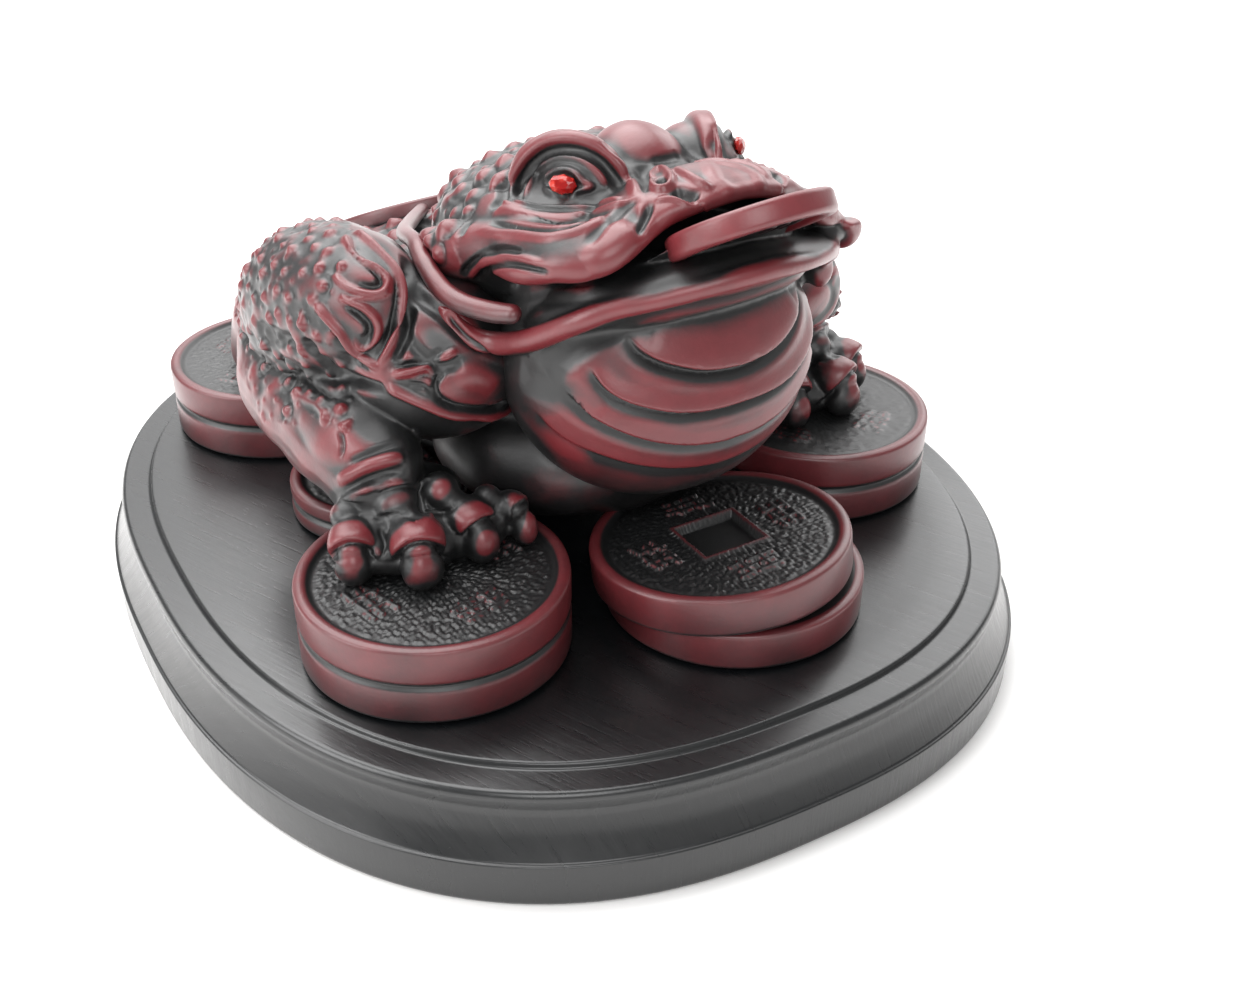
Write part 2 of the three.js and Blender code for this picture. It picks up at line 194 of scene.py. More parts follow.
def limb(points, sizes, flat=1.0, up=(0, 0, 1), around=20, step=0.8):
    """A roll along a curve with round ends. flat squeezes it along up, as a band"""
    path, radii = spaced(points, sizes, step)
    along = unit(np.gradient(path, axis=0))
    caps = [math.radians(a) for a in (80, 60, 40, 20)]
    starts = [(path[0] - along[0] * radii[0] * math.sin(a), along[0], radii[0] * math.cos(a))
              for a in caps]
    ends = [(path[-1] + along[-1] * radii[-1] * math.sin(a), along[-1], radii[-1] * math.cos(a))
            for a in reversed(caps)]
    rings = starts + list(zip(path, along, radii)) + ends
    turn = np.linspace(0, 2 * math.pi, around, endpoint=False)
    vertices = []
    for centre, tangent, radius in rings:
        normal = np.array(up, float) - tangent * np.dot(up, tangent)
        normal /= np.linalg.norm(normal)
        side = np.cross(tangent, normal)
        ring = np.outer(np.cos(turn), side) + flat * np.outer(np.sin(turn), normal)
        vertices.append(centre + radius * ring)
    return skin_rings(np.array(vertices), "limb")


def skin_rings(rings, name):
    """A mesh through rings of points, closed at both ends"""
    count, around = rings.shape[:2]
    faces = []
    for i in range(count - 1):
        for j in range(around):
            k = (j + 1) % around
            faces.append((i * around + j, i * around + k, (i + 1) * around + k, (i + 1) * around + j))
    faces.append(tuple(reversed(range(around))))
    faces.append(tuple((count - 1) * around + j for j in range(around)))
    mesh = bpy.data.meshes.new(name)
    mesh.from_pydata(rings.reshape(-1, 3).tolist(), [], faces)
    piece = bpy.data.objects.new(name, mesh)
    bpy.context.collection.objects.link(piece)
    return piece


print("lumps, limbs and rings can be made")

# %% [markdown]
# Most of Blender's operators act on what is selected, so each one here starts by selecting its
# own pieces. A voxel remesh then makes one even skin over a heap of overlapping lumps.
# %% Selecting and fusing
def only(*pieces):
    """Selects these pieces and nothing else"""
    bpy.ops.object.select_all(action="DESELECT")
    for piece in pieces:
        piece.select_set(True)
    bpy.context.view_layer.objects.active = pieces[0]


def apply_modifier(piece, kind, **settings):
    """Adds a modifier with its settings and makes its result the piece's own mesh"""
    only(piece)
    modifier = piece.modifiers.new(kind.lower(), kind)
    for key, value in settings.items():
        setattr(modifier, key, value)
    bpy.ops.object.modifier_apply(modifier=modifier.name)


def fuse(name, parts, voxel):
    """One skin over all the parts"""
    only(*parts)
    bpy.ops.object.transform_apply(location=True, rotation=True, scale=True)
    bpy.ops.object.join()
    piece = bpy.context.object
    piece.name = piece.data.name = name
    apply_modifier(piece, "REMESH", mode="VOXEL", voxel_size=voxel, use_smooth_shade=True)
    print(name, "has", len(piece.data.polygons), "faces")
    return piece


def points_of(piece):
    """The piece's points as rows of x, y and z"""
    points = np.empty(len(piece.data.vertices) * 3)
    piece.data.vertices.foreach_get("co", points)
    return points.reshape(-1, 3)


def mend(piece):
    """Welds points that lie together and turns every face outward"""
    only(piece)
    bpy.ops.object.mode_set(mode="EDIT")
    bpy.ops.mesh.select_all(action="SELECT")
    bpy.ops.mesh.remove_doubles(threshold=0.002)
    bpy.ops.mesh.normals_make_consistent(inside=False)
    bpy.ops.object.mode_set(mode="OBJECT")


def both(make):
    """The same part on the toad's left and right"""
    return [part for side in (1, -1) for part in make(side)]


def flip(side, points):
    """Points given for the toad's left, taken to a side"""
    return [(side * x, y, z) for x, y, z in points]


print("parts can be fused into one skin")


# %% [markdown]
# ## Tools for carving
# A modelling tool pressed along a line leaves a rounded groove, and clay laid along a line makes
# a rounded ridge. Both are one function here: it moves each point of the skin along its normal,
# by an amount that fades across the stroke and at its ends. A stroke is given by pixels of the
# photograph, landed on the skin, and the toad's other side gets the same stroke mirrored.
# %% Clay
class Clay:
    """A fused skin whose points are pressed and raised in code"""

    def __init__(self, piece, grain, soften):
        self.piece, self.grain = piece, grain
        mesh = piece.data
        self.count = len(mesh.vertices)
        edges = np.empty(len(mesh.edges) * 2, int)
        mesh.edges.foreach_get("vertices", edges)
        self.edges = edges.reshape(-1, 2)
        self.degree = np.maximum(np.bincount(edges, minlength=self.count), 1)[:, None]
        self.paint = np.zeros(self.count)
        self.points = self.smoothed(points_of(piece), soften)
        self.update()
        self.look()

    def smoothed(self, values, reach):
        """Values averaged over the skin within about this reach in mm"""
        a, b = self.edges.T
        for _ in range(max(1, round((reach / self.grain) ** 2 / 0.6))):
            total = np.column_stack([
                np.bincount(a, values[b, k], self.count) + np.bincount(b, values[a, k], self.count)
                for k in range(values.shape[1])
            ])
            values = values * 0.4 + total / self.degree * 0.6
        return values

    def soften(self, where, reach):
        """Rounds off what was raised where the mask holds"""
        self.points[where] = self.smoothed(self.points, reach)[where]
        self.update()

    def update(self):
        """Writes the points to the mesh and reads its normals back"""
        mesh = self.piece.data
        mesh.vertices.foreach_set("co", self.points.ravel())
        mesh.update()
        normals = np.empty(self.count * 3)
        mesh.vertices.foreach_get("normal", normals)
        self.normals = normals.reshape(-1, 3)

    def look(self):
        """Takes the skin as it is now for what the camera sees"""
        self.tree = BVHTree.FromObject(self.piece, bpy.context.evaluated_depsgraph_get())

    def land(self, pixels):
        """Where the camera sees these pixels on the skin"""
        found = []
        for pixel in pixels:
            ray = sight(pixel)
            hit = self.tree.ray_cast(Vector(eye_point), Vector(ray))[0]
            if hit is None:
                steps = [eye_point + ray * d for d in np.arange(120, 260, 2.0)]
                hit = min((self.tree.find_nearest(Vector(p)) for p in steps), key=lambda n: n[3])[0]
            found.append(np.array(hit))
        return np.array(found)


print("a skin can be smoothed and looked at")

# %% [markdown]
# A stroke needs to know, for each point of the skin near it, how far off its path the point is
# and how far along. From the gap comes a soft round section, and from the place along it a fade.
# %% Strokes
def apart(points, path):
    """How far each point is from a path, how far along it, and how far below its nearest place"""
    nearest = np.full(len(points), 1e9)
    place = np.zeros(len(points))
    under = np.zeros(len(points))
    pieces = np.linalg.norm(np.diff(path, axis=0), axis=1)
    run = np.concatenate([[0], np.cumsum(pieces)])
    for i in range(len(path) - 1):
        way = path[i + 1] - path[i]
        t = np.clip((points - path[i]) @ way / max(way @ way, 1e-9), 0, 1)
        offset = path[i] + t[:, None] * way - points
        gap = np.linalg.norm(offset, axis=1)
        closer = gap < nearest
        nearest[closer] = gap[closer]
        place[closer] = run[i] + t[closer] * pieces[i]
        under[closer] = offset[closer, 2]
    return nearest, place, under, run[-1]


def reached(clay, path, width, mirror, fade):
    """The points near a stroke: their numbers, gap, height under it, and the fade at its ends"""
    points = to_right(clay.points) if mirror else clay.points
    if mirror:
        cut = path[path[:, 0] < 0.3]
        path = cut if len(cut) > 1 else path
    low, high = path.min(0) - width, path.max(0) + width
    near = np.flatnonzero(((points > low) & (points < high)).all(1))
    gap, place, under, length = apart(points[near], path)
    fade = max(min(fade, length / 3), 1e-6)
    first, last = np.clip((place + 0.1) / fade, 0, 1), np.clip((length - place + 0.1) / fade, 0, 1)
    if mirror and abs(path[0][0]) < 1.2:
        first = 1.0
    if mirror and abs(path[-1][0]) < 1.2:
        last = 1.0
    ends = np.minimum(first, last) * np.ones(len(near))
    return near, gap, under, ends * (2 - ends)


def press(clay, pixels, width, height, mirror=True, fade=2.0, paint=0.0, path=None):
    """A stroke of half-width and height in mm. Paint darkens it, or cleans it where negative"""
    landed = clay.land(pixels) if path is None else np.array(path, float)
    line, _ = spaced(landed, np.ones(len(landed)), 0.5)
    near, gap, _, ends = reached(clay, line, width, mirror, fade)
    weight = np.clip(1 - (gap / width) ** 2, 0, 1) ** 2 * ends
    clay.points[near] += clay.normals[near] * (height * weight)[:, None]
    clay.paint[near] += paint * weight


def fold(clay, pixels, above, below, rise, sink, paint=0.5, mirror=True, fade=3.0):
    """A crease: the skin swells over the line and drops sharply below it, painted dark below as wash in the
    crease and painted shadow under the roll
    """
    landed = clay.land(pixels)
    line, _ = spaced(landed, np.ones(len(landed)), 0.5)
    near, gap, under, ends = reached(clay, line, max(above, below), mirror, fade)
    upper = np.clip(1 - gap / above, 0, 1)
    lower = np.clip(1 - gap / below, 0, 1)
    side = ramp(np.where(under > 0, gap, -gap), -0.35, 0.35)
    height = rise * upper ** 2 * (3 - 2 * upper) * (1 - side) - sink * lower ** 1.8 * side
    # tone: wash and painted shadow below the line, the roll above cleaned to red
    tone = paint * lower * side - paint * 0.6 * upper * (1 - side)
    clay.points[near] += clay.normals[near] * (height * ends)[:, None]
    clay.paint[near] += tone * ends


print("strokes and folds can be carved")

# %% [markdown]
# Skin is never smooth between its folds. Noise gives it a lumpy ground, and warts are domes that
# are scattered at random but kept apart, larger and smaller, some with a ring sunk round them.
# %% Rough skin and warts
def hammer(clay, where, size, height, seed):
    """A rough, lumpy skin: noise with lumps of a size, in mm"""
    shift = Vector((seed * 7.3, seed * 3.1, 0))
    for i in np.flatnonzero(where):
        lump = noise_3d(Vector(clay.points[i]) / size + shift)
        clay.points[i] += clay.normals[i] * height * lump


def shade(clay, pixel, radius, amount, mirror=True):
    """Paints a soft round patch round a pixel into the wash amount, used for wash and also for painted shade
    and painted light: more where amount is above 0, else less
    """
    centre = clay.land([pixel])[0]
    points = to_right(clay.points) if mirror else clay.points
    gap = np.linalg.norm(points - centre, axis=1)
    clay.paint += amount * np.clip(1 - (gap / radius) ** 2, 0, 1)


def scatter(clay, where, spacing, sizes, height, seed, dimple=0.0):
    """Round warts at random on the points where the mask holds, kept a spacing apart"""
    picks = np.flatnonzero(where)
    order = np.random.default_rng(seed).permutation(picks)
    chosen = np.empty((0, 3))
    for i in order[:6000]:
        if len(chosen) == 0 or np.min(((chosen - clay.points[i]) ** 2).sum(1)) > spacing ** 2:
            chosen = np.vstack([chosen, clay.points[i]])
    beads(clay, chosen, np.random.default_rng(seed + 1).uniform(*sizes, len(chosen)), height, dimple)
    return chosen


def beads(clay, centres, radii, height, dimple=0.0):
    """Raises a dome at each centre. A dimple sinks a ring round it"""
    tree = KDTree(len(centres))
    for i, centre in enumerate(centres):
        tree.insert(Vector(centre), i)
    tree.balance()
    reach = max(radii) * 1.6
    low, high = centres.min(0) - reach, centres.max(0) + reach
    near = np.flatnonzero(((clay.points > low) & (clay.points < high)).all(1))
    for i in near:
        _, k, gap = tree.find(Vector(clay.points[i]))
        t = gap / radii[k]
        if t < 1.25:
            dome = (1 - (t / 1.25) ** 2) ** 1.5
            clay.points[i] += clay.normals[i] * height * radii[k] * dome
            clay.paint[i] -= 0.4 * dome
        elif t < 1.8:
            ring = math.sin((t - 1.25) / 0.55 * math.pi)
            clay.points[i] -= clay.normals[i] * dimple * ring
            clay.paint[i] += 0.15 * ring


print("skin can be roughened and set with warts")

# %% [markdown]
# ## The antique wash and painted shade
# The resin is dyed dark red all through. The maker brushed black over it and wiped it off again,
# so the black stays in the hollows and the red shows on what stands out. How hollow each point
# is comes from how far the smoothed skin lies above it. Painted shade is added to the same amount:
# each point is darkened by how little of the open sky it sees, where the figure shades itself.
# The result is stored on the mesh as an attribute for the material.
# sky it sees. The result is stored on the mesh as an attribute for the material.
# %% Wash
WASH_BASE, OPEN_SHARE = 0.69, 0.66
# WASH_OF_SHADE is painted shade: how much darker a point gets for the sky that it doesn't see
WASH_OF_FINE, WASH_OF_BROAD, WASH_OF_SHADE = 2.6, 1.3, 0.75
FINE_REACH, BROAD_REACH, WASH_BLUR = 0.75, 2.1, 0.55
GOLDEN_ANGLE = 2.399963


def open_sky(clay, tree, rays=20, every=7, reach=22.0):
    """The share of free directions above the skin, on some of the points, spread to all"""
    picks = np.arange(0, clay.count, every)
    angles = np.arange(rays) * GOLDEN_ANGLE
    height = (np.arange(rays) + 0.5) / rays
    spread = np.sqrt(1 - height ** 2)
    dome = np.column_stack([spread * np.cos(angles), spread * np.sin(angles), height])
    free = np.zeros(len(picks))
    for n, i in enumerate(picks):
        normal = Vector(clay.normals[i])
        turn = Vector((0, 0, 1)).rotation_difference(normal)
        start = Vector(clay.points[i]) + normal * 0.7
        blocked = 0
        for ray in dome:
            if tree.ray_cast(start, turn @ Vector(ray), reach)[0] is not None:
                blocked += 1
        free[n] = 1 - blocked / rays
    spots = KDTree(len(picks))
    for n, i in enumerate(picks):
        spots.insert(Vector(clay.points[i]), n)
    spots.balance()
    spread_out = np.array([free[spots.find(Vector(p))[1]] for p in clay.points])
    return clay.smoothed(spread_out[:, None], 0.9)[:, 0]


def wash_and_shade(clay, tree):
    """Stores how much black wash and painted shade lies on each point, from 0 to 1"""
    clay.update()
    fine = ((clay.smoothed(clay.points, FINE_REACH) - clay.points) * clay.normals).sum(1)
    broad = ((clay.smoothed(clay.points, BROAD_REACH) - clay.points) * clay.normals).sum(1)
    sky = open_sky(clay, tree)
    # The curvature terms lay the wash in the hollows; (OPEN_SHARE - sky) is painted shade, and clay.paint
    # also holds painted shade and light
    amount = (WASH_BASE + fine * WASH_OF_FINE + broad * WASH_OF_BROAD
              + (OPEN_SHARE - sky) * WASH_OF_SHADE + clay.paint)
    store(clay.piece, "wash_and_shade", np.clip(clay.smoothed(amount[:, None], WASH_BLUR)[:, 0], 0, 1))


def store(piece, name, values):
    """Keeps one number for each point on the mesh, for a material to read"""
    attribute = piece.data.attributes.new(name, "FLOAT", "POINT")
    attribute.data.foreach_set("value", np.asarray(values, np.float32))


print("wash:", WASH_BASE, "on a flat, half-open place")

# %% [markdown]
# The carved skins have far more faces than they need where they are smooth. Decimate takes those
# away and keeps the carved lines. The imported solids, taken into the toad's frame, stand for the
# whole figure when the open sky is measured.
# %% Thinning, and the solids as a search tree
MOST_TRIANGLES = {"head": 190000, "body": 90000, "arm": 150000, "left arm": 90000}


def thin(piece, most):
    """Thins the mesh where it is smooth, down to a number of triangles"""
    triangles = sum(len(p.vertices) - 2 for p in piece.data.polygons)
    if triangles > most:
        apply_modifier(piece, "DECIMATE", ratio=most / triangles)
    only(piece)
    bpy.ops.object.shade_smooth()
    print(piece.name, "thinned from", triangles, "to", len(piece.data.polygons), "triangles")


def solids_tree():
    """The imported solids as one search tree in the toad's frame, for the open sky"""
    points, faces = [], []
    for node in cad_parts.values():
        start = len(points)
        inverse = to_row.inverted()
        points += [inverse @ (node.matrix_world @ v.co / MM) for v in node.data.vertices]
        faces += [[start + i for i in p.vertices] for p in node.data.polygons]
    return BVHTree.FromPolygons(points, faces)


sky_tree = solids_tree()
print("clay tools ready")

# %% [markdown]
# ## Head and throat
# The head is a low dome with a blunt muzzle, brow horns over the eyes and a small dome between
# them. The mouth is a wide bow: two thick lips that run back to its corners, with the throat
# hanging below like a full bag. The mouth is cut out before the lips are laid on.
# %% Head masses
CRANIUM = {"centre": (-0.6, 9.4, 45.3), "radii": (21.0, 26.4, 11.3), "pitch": -10}
BITE_TILT = 31.5
UPPER_LIP = [(0, -18.4, 57.4), (5, -17.8, 56.9), (10, -15.9, 55.1), (15.6, -15, 52.1),
             (19.8, -11.6, 49.6), (21.8, -6, 47.5), (21.6, 1, 46.2), (21.2, 5, 45.8)]
UPPER_LIP_SIZES = [1.0, 1.1, 1.4, 2.0, 2.1, 2.0, 1.6, 1.1]
LOWER_LIP = [(0, -24, 49.8), (6, -22.8, 49.2), (12, -19.6, 47.6), (16.5, -16, 46),
                 (19.6, -12.8, 43.8), (21.5, -6.5, 39.9), (22.4, -0.6, 37.4), (24.4, 2.4, 37.6),
                 (26, 4.8, 39.6), (26.2, 8, 41)]
LOWER_LIP_SIZES = [1.35, 1.35, 1.35, 1.35, 1.4, 1.5, 1.5, 1.4, 1.2, 0.8]
CHEEK_NEAR = [(-14.5, -12.5, 53), (-18, -9.5, 50.8), (-19, -4.5, 49.4), (-18.4, 1.5, 48.4),
              (-19.6, 6, 46.6), (-20.8, 11, 45.2), (-21, 15, 44)]
CHEEK_NEAR_SIZES = [2.6, 3.5, 3.7, 3.4, 3.8, 3.7, 2.8]
CHEEK_FAR = [(14, -11, 50.6), (17.4, -8, 48.8), (18.4, -3, 47.4), (18, 2, 46.6)]
BROW = [(14.6, 8, 52.5), (13, 7, 56.6), (11.2, 4.6, 58.6), (10, 1.8, 59.2), (8.8, -1, 58.9),
        (7.6, -3.4, 57.6), (7, -5.4, 55.2)]
BROW_SIZES = [1.3, 1.6, 1.8, 1.9, 1.8, 1.5, 1.1]
FAR_CHEEK = [(20.6, -14.6, 48.6), (22.3, -13.5, 47.2), (23.4, -11.6, 45.0), (23, -8, 43.4)]
FAR_LIP = {"centre": (18.4, -11.4, 46.6), "radii": (3.4, 3.4, 2.8)}
FAR_SOCKET = {"centre": (12.2, -0.1, 56.4), "radii": (2.1, 2.1, 2.1)}
FAR_CORNER = {"centre": (21.2, -9.4, 40.2), "radii": (2.2, 2.2, 2.9)}
HEAD_GRAIN = 0.27
print("lips laid along", len(UPPER_LIP), "and", len(LOWER_LIP), "points on each side")

# %% [markdown]
# The mouth's gap is cut out of the upper head by a boolean, as a knife would open clay, and only
# then are the lips, the throat and the cheeks laid on and fused with it.
# %% Head built up
def bow(half, sizes):
    """A roll across the middle, from its points on the toad's left"""
    right = [(-x, y, z) for x, y, z in reversed(half[1:])]
    return limb(right + half, list(reversed(sizes[1:])) + sizes)


def upper_head(voxel):
    """The cranium, the muzzle, the dome and the eyes' mounds, with the mouth's gap cut out"""
    parts = [
        egg(**CRANIUM),
        egg((0, -10, 51.9), (15, 11.4, 6.2), -24),
        egg((0, 2, 55), (6, 7, 5.4), detail=4),
    ]
    parts += both(lambda s: [egg((s * 8.8, 1.5, 54.4), (4.7, 6.8, 5.4), detail=4)])
    head = fuse("upper_head", parts, voxel)
    gap = fuse("mouth_gap", [egg((0, -6, 47), (22.4, 17, 2.6), -BITE_TILT, 4),
                             egg((0, -14, 53), (13, 11, 3.4), -BITE_TILT, 4)], 0.6)
    apply_modifier(head, "BOOLEAN", operation="DIFFERENCE", object=gap, solver="EXACT")
    bpy.data.objects.remove(gap)
    return head


def head_skin():
    """The whole head: the upper head with the throat, the lips, the brows and the cheeks"""
    parts = [upper_head(0.45)]
    parts.append(egg((0, -2.7, 32.6), (21.6, 17.7, 20), -8.5))
    parts.append(egg((0, -6, 41.5), (20.5, 19.4, 5), -28))
    parts.append(egg((0, 12, 36), (19, 7, 7)))
    parts.append(bow(UPPER_LIP, UPPER_LIP_SIZES))
    parts.append(bow(LOWER_LIP, LOWER_LIP_SIZES))
    parts += both(lambda s: [limb(flip(s, BROW), BROW_SIZES)])
    parts += [limb(CHEEK_NEAR, CHEEK_NEAR_SIZES), limb(CHEEK_FAR, [2.4, 2.8, 2.8, 2.4])]
    parts += [limb(FAR_CHEEK, [1.2, 1.7, 1.8, 1.4]), egg(**FAR_LIP, detail=3), egg(**FAR_CORNER, detail=3)]
    parts.append(egg(**FAR_SOCKET, detail=3))
    return fuse("toad_head", parts, HEAD_GRAIN)


def lean_over(clay, share):
    """The upper head leans a little to the toad's left: that side sinks with its distance"""
    x, z = clay.points[:, 0], clay.points[:, 2]
    clay.points[:, 2] -= share * np.clip(x, 0, None) * ramp(z, 47, 52)
    clay.update()


def draw_up_lip(clay, most):
    """The near upper lip is drawn up along the middle of its run. Above is height over the bite"""
    x, y, z = clay.points.T
    above = z + 0.37 * y
    clay.points[:, 2] += most * (x < -8) * ramp(above, 41.4, 42.4) * ramp(above, 50, 46) * (
        ramp(y, -16, -11) * ramp(y, 7, 1))
    clay.update()


print("head built from a cranium, a throat and two lips")

# %% [markdown]
# The fused head is still nearly symmetrical, and the real one is less so: it leans a little to its
# left, and the lip on the photographed side is drawn up along its middle. Both are small moves of
# all the points in a part of the head. The far corner of the mouth and the cheek are rounded off.
# %% Head adjusted to the photograph
HEAD_LEAN, LIP_RAISE = 0.1, 1.2
FAR_CORNER_FROM, FAR_CORNER_TO = (17, -99, 35), (99, -5, 51)
CHEEK_OUTLINE = [(452, 240), (500, 226), (560, 228), (600, 218), (632, 202), (700, 200),
                 (712, 222), (660, 254), (600, 284), (520, 294), (470, 290)]
head = Clay(head_skin(), HEAD_GRAIN, 0.5)
lean_over(head, HEAD_LEAN)
draw_up_lip(head, LIP_RAISE)
far_corner = (head.points > FAR_CORNER_FROM).all(1) & (head.points < FAR_CORNER_TO).all(1)
head.soften(far_corner, 0.9)
head.look()
print("head before carving:", head.count, "points")
head.soften(enclosed(in_photo(to_right(head.points)), CHEEK_OUTLINE), 1.3)

# %% [markdown]
# ## Carving the face
# Each eye lies in a socket: a heavy brow ridge, a cut, two thin lid lines, and a rim that holds the
# stone. A long bag hangs under the eye, and below it the cheek runs out into the upper lip. The
# nostril is a small curled ring with a groove that leads forward from it. The strokes are listed
# with the pixels that they follow, their half-width and height in millimetres, and the wash that
# they add or take away. A patch is a pixel, a radius in millimetres and an amount of wash; some
# patches paint shade, and some paint light, instead of wash.
# %% Face strokes
EYE_STROKES = [
    ([(516, 197), (520, 182), (529, 167), (543, 154), (560, 149), (580, 150), (598, 158), (611, 171),
      (622, 187)], 1.15, -0.8, 0.4),
    ([(511, 198), (515, 179), (525, 161), (540, 146), (557, 138), (575, 137), (592, 141), (607, 149),
      (620, 164), (631, 180), (641, 194)], 1.5, 0.5, -0.6),
    ([(525, 200), (530, 187), (538, 173), (548, 163), (561, 158), (576, 159), (590, 166), (602, 178),
      (612, 193)], 0.5, 0.55, -0.15),
    ([(519, 199), (524, 186), (532, 171), (544, 159), (560, 153), (577, 154), (594, 161), (607, 174),
      (619, 191)], 0.45, 0.4, 0.0),
    ([(545, 186), (549, 177), (557, 171), (568, 170), (577, 174), (583, 181), (591, 187), (581, 191),
      (573, 195), (560, 196), (549, 192), (545, 186)], 0.6, 0.7, -0.2),
    ([(512, 201), (530, 206), (550, 208), (580, 208), (605, 203), (621, 198)], 0.5, 0.5, 0.0),
    ([(500, 201), (520, 210), (540, 215), (560, 217), (582, 215), (602, 210), (622, 203), (640, 196)],
     0.55, 0.5, -0.1),
]
CHEEK_STROKES = [
    ([(492, 213), (505, 210), (520, 214), (540, 219), (562, 221), (585, 218)], 1.5, 0.65, -0.45),
    ([(490, 222), (515, 226), (540, 229), (560, 228), (580, 223), (604, 213)], 0.8, -0.6, 0.4),
    ([(478, 229), (500, 233), (540, 236), (560, 234), (580, 228), (606, 216)], 1.1, 0.35, -0.4),
    ([(624, 220), (615, 238), (602, 254), (585, 267)], 3.4, 0.55, -0.3),
    ([(640, 197), (622, 209), (606, 222), (596, 236), (588, 248)], 1.3, -0.5, 0.35),
    ([(650, 203), (646, 214), (641, 226), (640, 237)], 0.9, -0.8, 0.4),
    ([(630, 207), (634, 219), (637, 231)], 1.2, -0.35, 0.15),
    ([(655, 216), (680, 208), (712, 203)], 2.0, 0.3, -0.25),
    ([(486, 240), (530, 248), (565, 250), (592, 242)], 3.8, 0.0, 0.3),
    ([(500, 281), (540, 288), (580, 282), (610, 266), (640, 243)], 1.7, 0.1, -0.3),
]
CURL_STROKES = [
    ([(462, 276), (467, 268), (476, 259), (489, 252), (505, 249), (522, 252)], 0.7, -0.6, 0.35),
    ([(469, 278), (477, 268), (489, 260), (505, 257), (524, 259), (542, 265)], 0.8, 0.35, -0.2),
    ([(476, 281), (484, 273), (495, 266), (510, 264), (528, 268), (548, 274)], 0.7, -0.7, 0.4),
]
NOSE_STROKES = [
    ([(651, 180), (653, 174), (660, 171), (668, 173), (672, 180), (669, 187), (661, 190), (653, 187),
      (651, 180)], 0.65, 0.75, -0.5),
    ([(660, 180), (663, 181)], 0.9, -1.2, 0.6),
    ([(674, 170), (686, 175), (700, 183), (713, 190)], 0.85, 0.7, -0.4),
    ([(672, 190), (685, 194), (700, 198)], 1.3, -1.4, 0.6),
    ([(655, 200), (672, 199), (690, 203)], 0.6, 0.4, -0.1),
    ([(642, 165), (645, 178), (646, 192)], 1.4, -1.0, 0.5),
    ([(602, 142), (613, 151), (626, 165), (637, 180)], 1.2, -0.8, 0.35),
    ([(652, 161), (668, 158), (685, 155)], 1.0, -0.4, 0.25),
    ([(700, 160), (712, 172), (724, 186), (738, 193)], 1.3, 0.35, -0.25),
]
FACE_BACK_STROKES = [
    ([(505, 178), (503, 196), (492, 210)], 1.4, -0.9, 0.35),
    ([(470, 222), (460, 236)], 1.0, -0.6, 0.2),
    ([(443, 300), (455, 325), (476, 346), (508, 356)], 0.8, -0.7, 0.5),
]
# Painted shade and light among the patches: those from (520, 300) to (760, 250) paint the shade inside the
# mouth's gap, those at (540, 360), (530, 385) and (524, 440) paint the shade where the throat meets the arm,
# and those at (700, 320), (650, 385) and (650, 425) paint light onto the throat's folds
PATCHES = [
    ((560, 180), 5.2, 0.9), ((650, 140), 4.0, -0.25), ((690, 168), 3.0, -0.2),
    ((770, 180), 4.5, -0.25), ((655, 284), 4.5, 0.6), ((705, 264), 4.5, 0.6),
    ((470, 262), 4.0, 0.3), ((612, 245), 3.2, -0.25), ((560, 302), 3.0, 0.5),
    ((610, 290), 3.0, 0.5), ((650, 262), 3.0, 0.6), ((690, 238), 3.0, 0.6),
    ((725, 212), 2.5, 0.6), ((520, 300), 3.0, 0.5), ((700, 268), 3.5, 0.4),
    ((760, 250), 4.0, 0.4), ((530, 385), 6.5, 0.4), ((524, 440), 6.5, 0.45),
    ((568, 440), 4.2, -0.85), ((560, 262), 4.5, 0.18), ((514, 196), 2.2, 0.5),
    ((535, 203), 2.2, 0.4), ((540, 360), 4.5, 0.5), ((700, 320), 7.0, -0.12),
    ((650, 385), 4.0, -0.12), ((650, 425), 4.0, -0.12),
]
print("face strokes:", len(EYE_STROKES) + len(CHEEK_STROKES) + len(CURL_STROKES) + len(NOSE_STROKES))

# %% [markdown]
# All the strokes are carved, the long soft ones of the cheek first. The skin behind each eye's
# stone is pressed flat last, so the stones' places are set here, before the stones are made.
# %% Carve the face
GEM = {"place": (13.4, -1.4, 55.9), "across": 3.6, "tall": 2.4, "height": 1.7}
GEM_FACING = {-1: (-0.76, -0.56, 0.34), 1: (0.62, -0.68, 0.38)}


def seat_stone(clay):
    """Presses the skin down behind each eye stone, so that the stone stands clear of it"""
    for side, facing in GEM_FACING.items():
        facing = unit(np.array(facing))
        offset = clay.points - np.array(GEM["place"]) * [side, 1, 1]
        lift = offset @ facing
        away = np.linalg.norm(offset - lift[:, None] * facing, axis=1)
        flat = np.clip((GEM["across"] * 0.5 + 0.1 - away) / 0.5, 0, 1)
        clay.points -= (np.clip(lift + 0.3, 0, None) * flat)[:, None] * facing


def carve(clay, strokes, **options):
    """Presses a list of strokes: pixels, half-width, height and paint"""
    for pixels, width, height, paint in strokes:
        press(clay, pixels, width, height, paint=paint, **options)
    clay.update()


def crease(clay, folds, **options):
    """Folds a list of creases: pixels, widths above and below, rise and sink"""
    for pixels, above, below, rise, sink in folds:
        fold(clay, pixels, above, below, rise, sink, **options)
    clay.update()


for pixel, radius, amount in PATCHES:
    shade(head, pixel, radius, amount)
carve(head, CHEEK_STROKES, fade=4.0)
carve(head, CURL_STROKES, fade=2.0)
for strokes in (EYE_STROKES, NOSE_STROKES, FACE_BACK_STROKES):
    carve(head, strokes)
seat_stone(head)
print("face carved, with", len(PATCHES), "patches of wash")

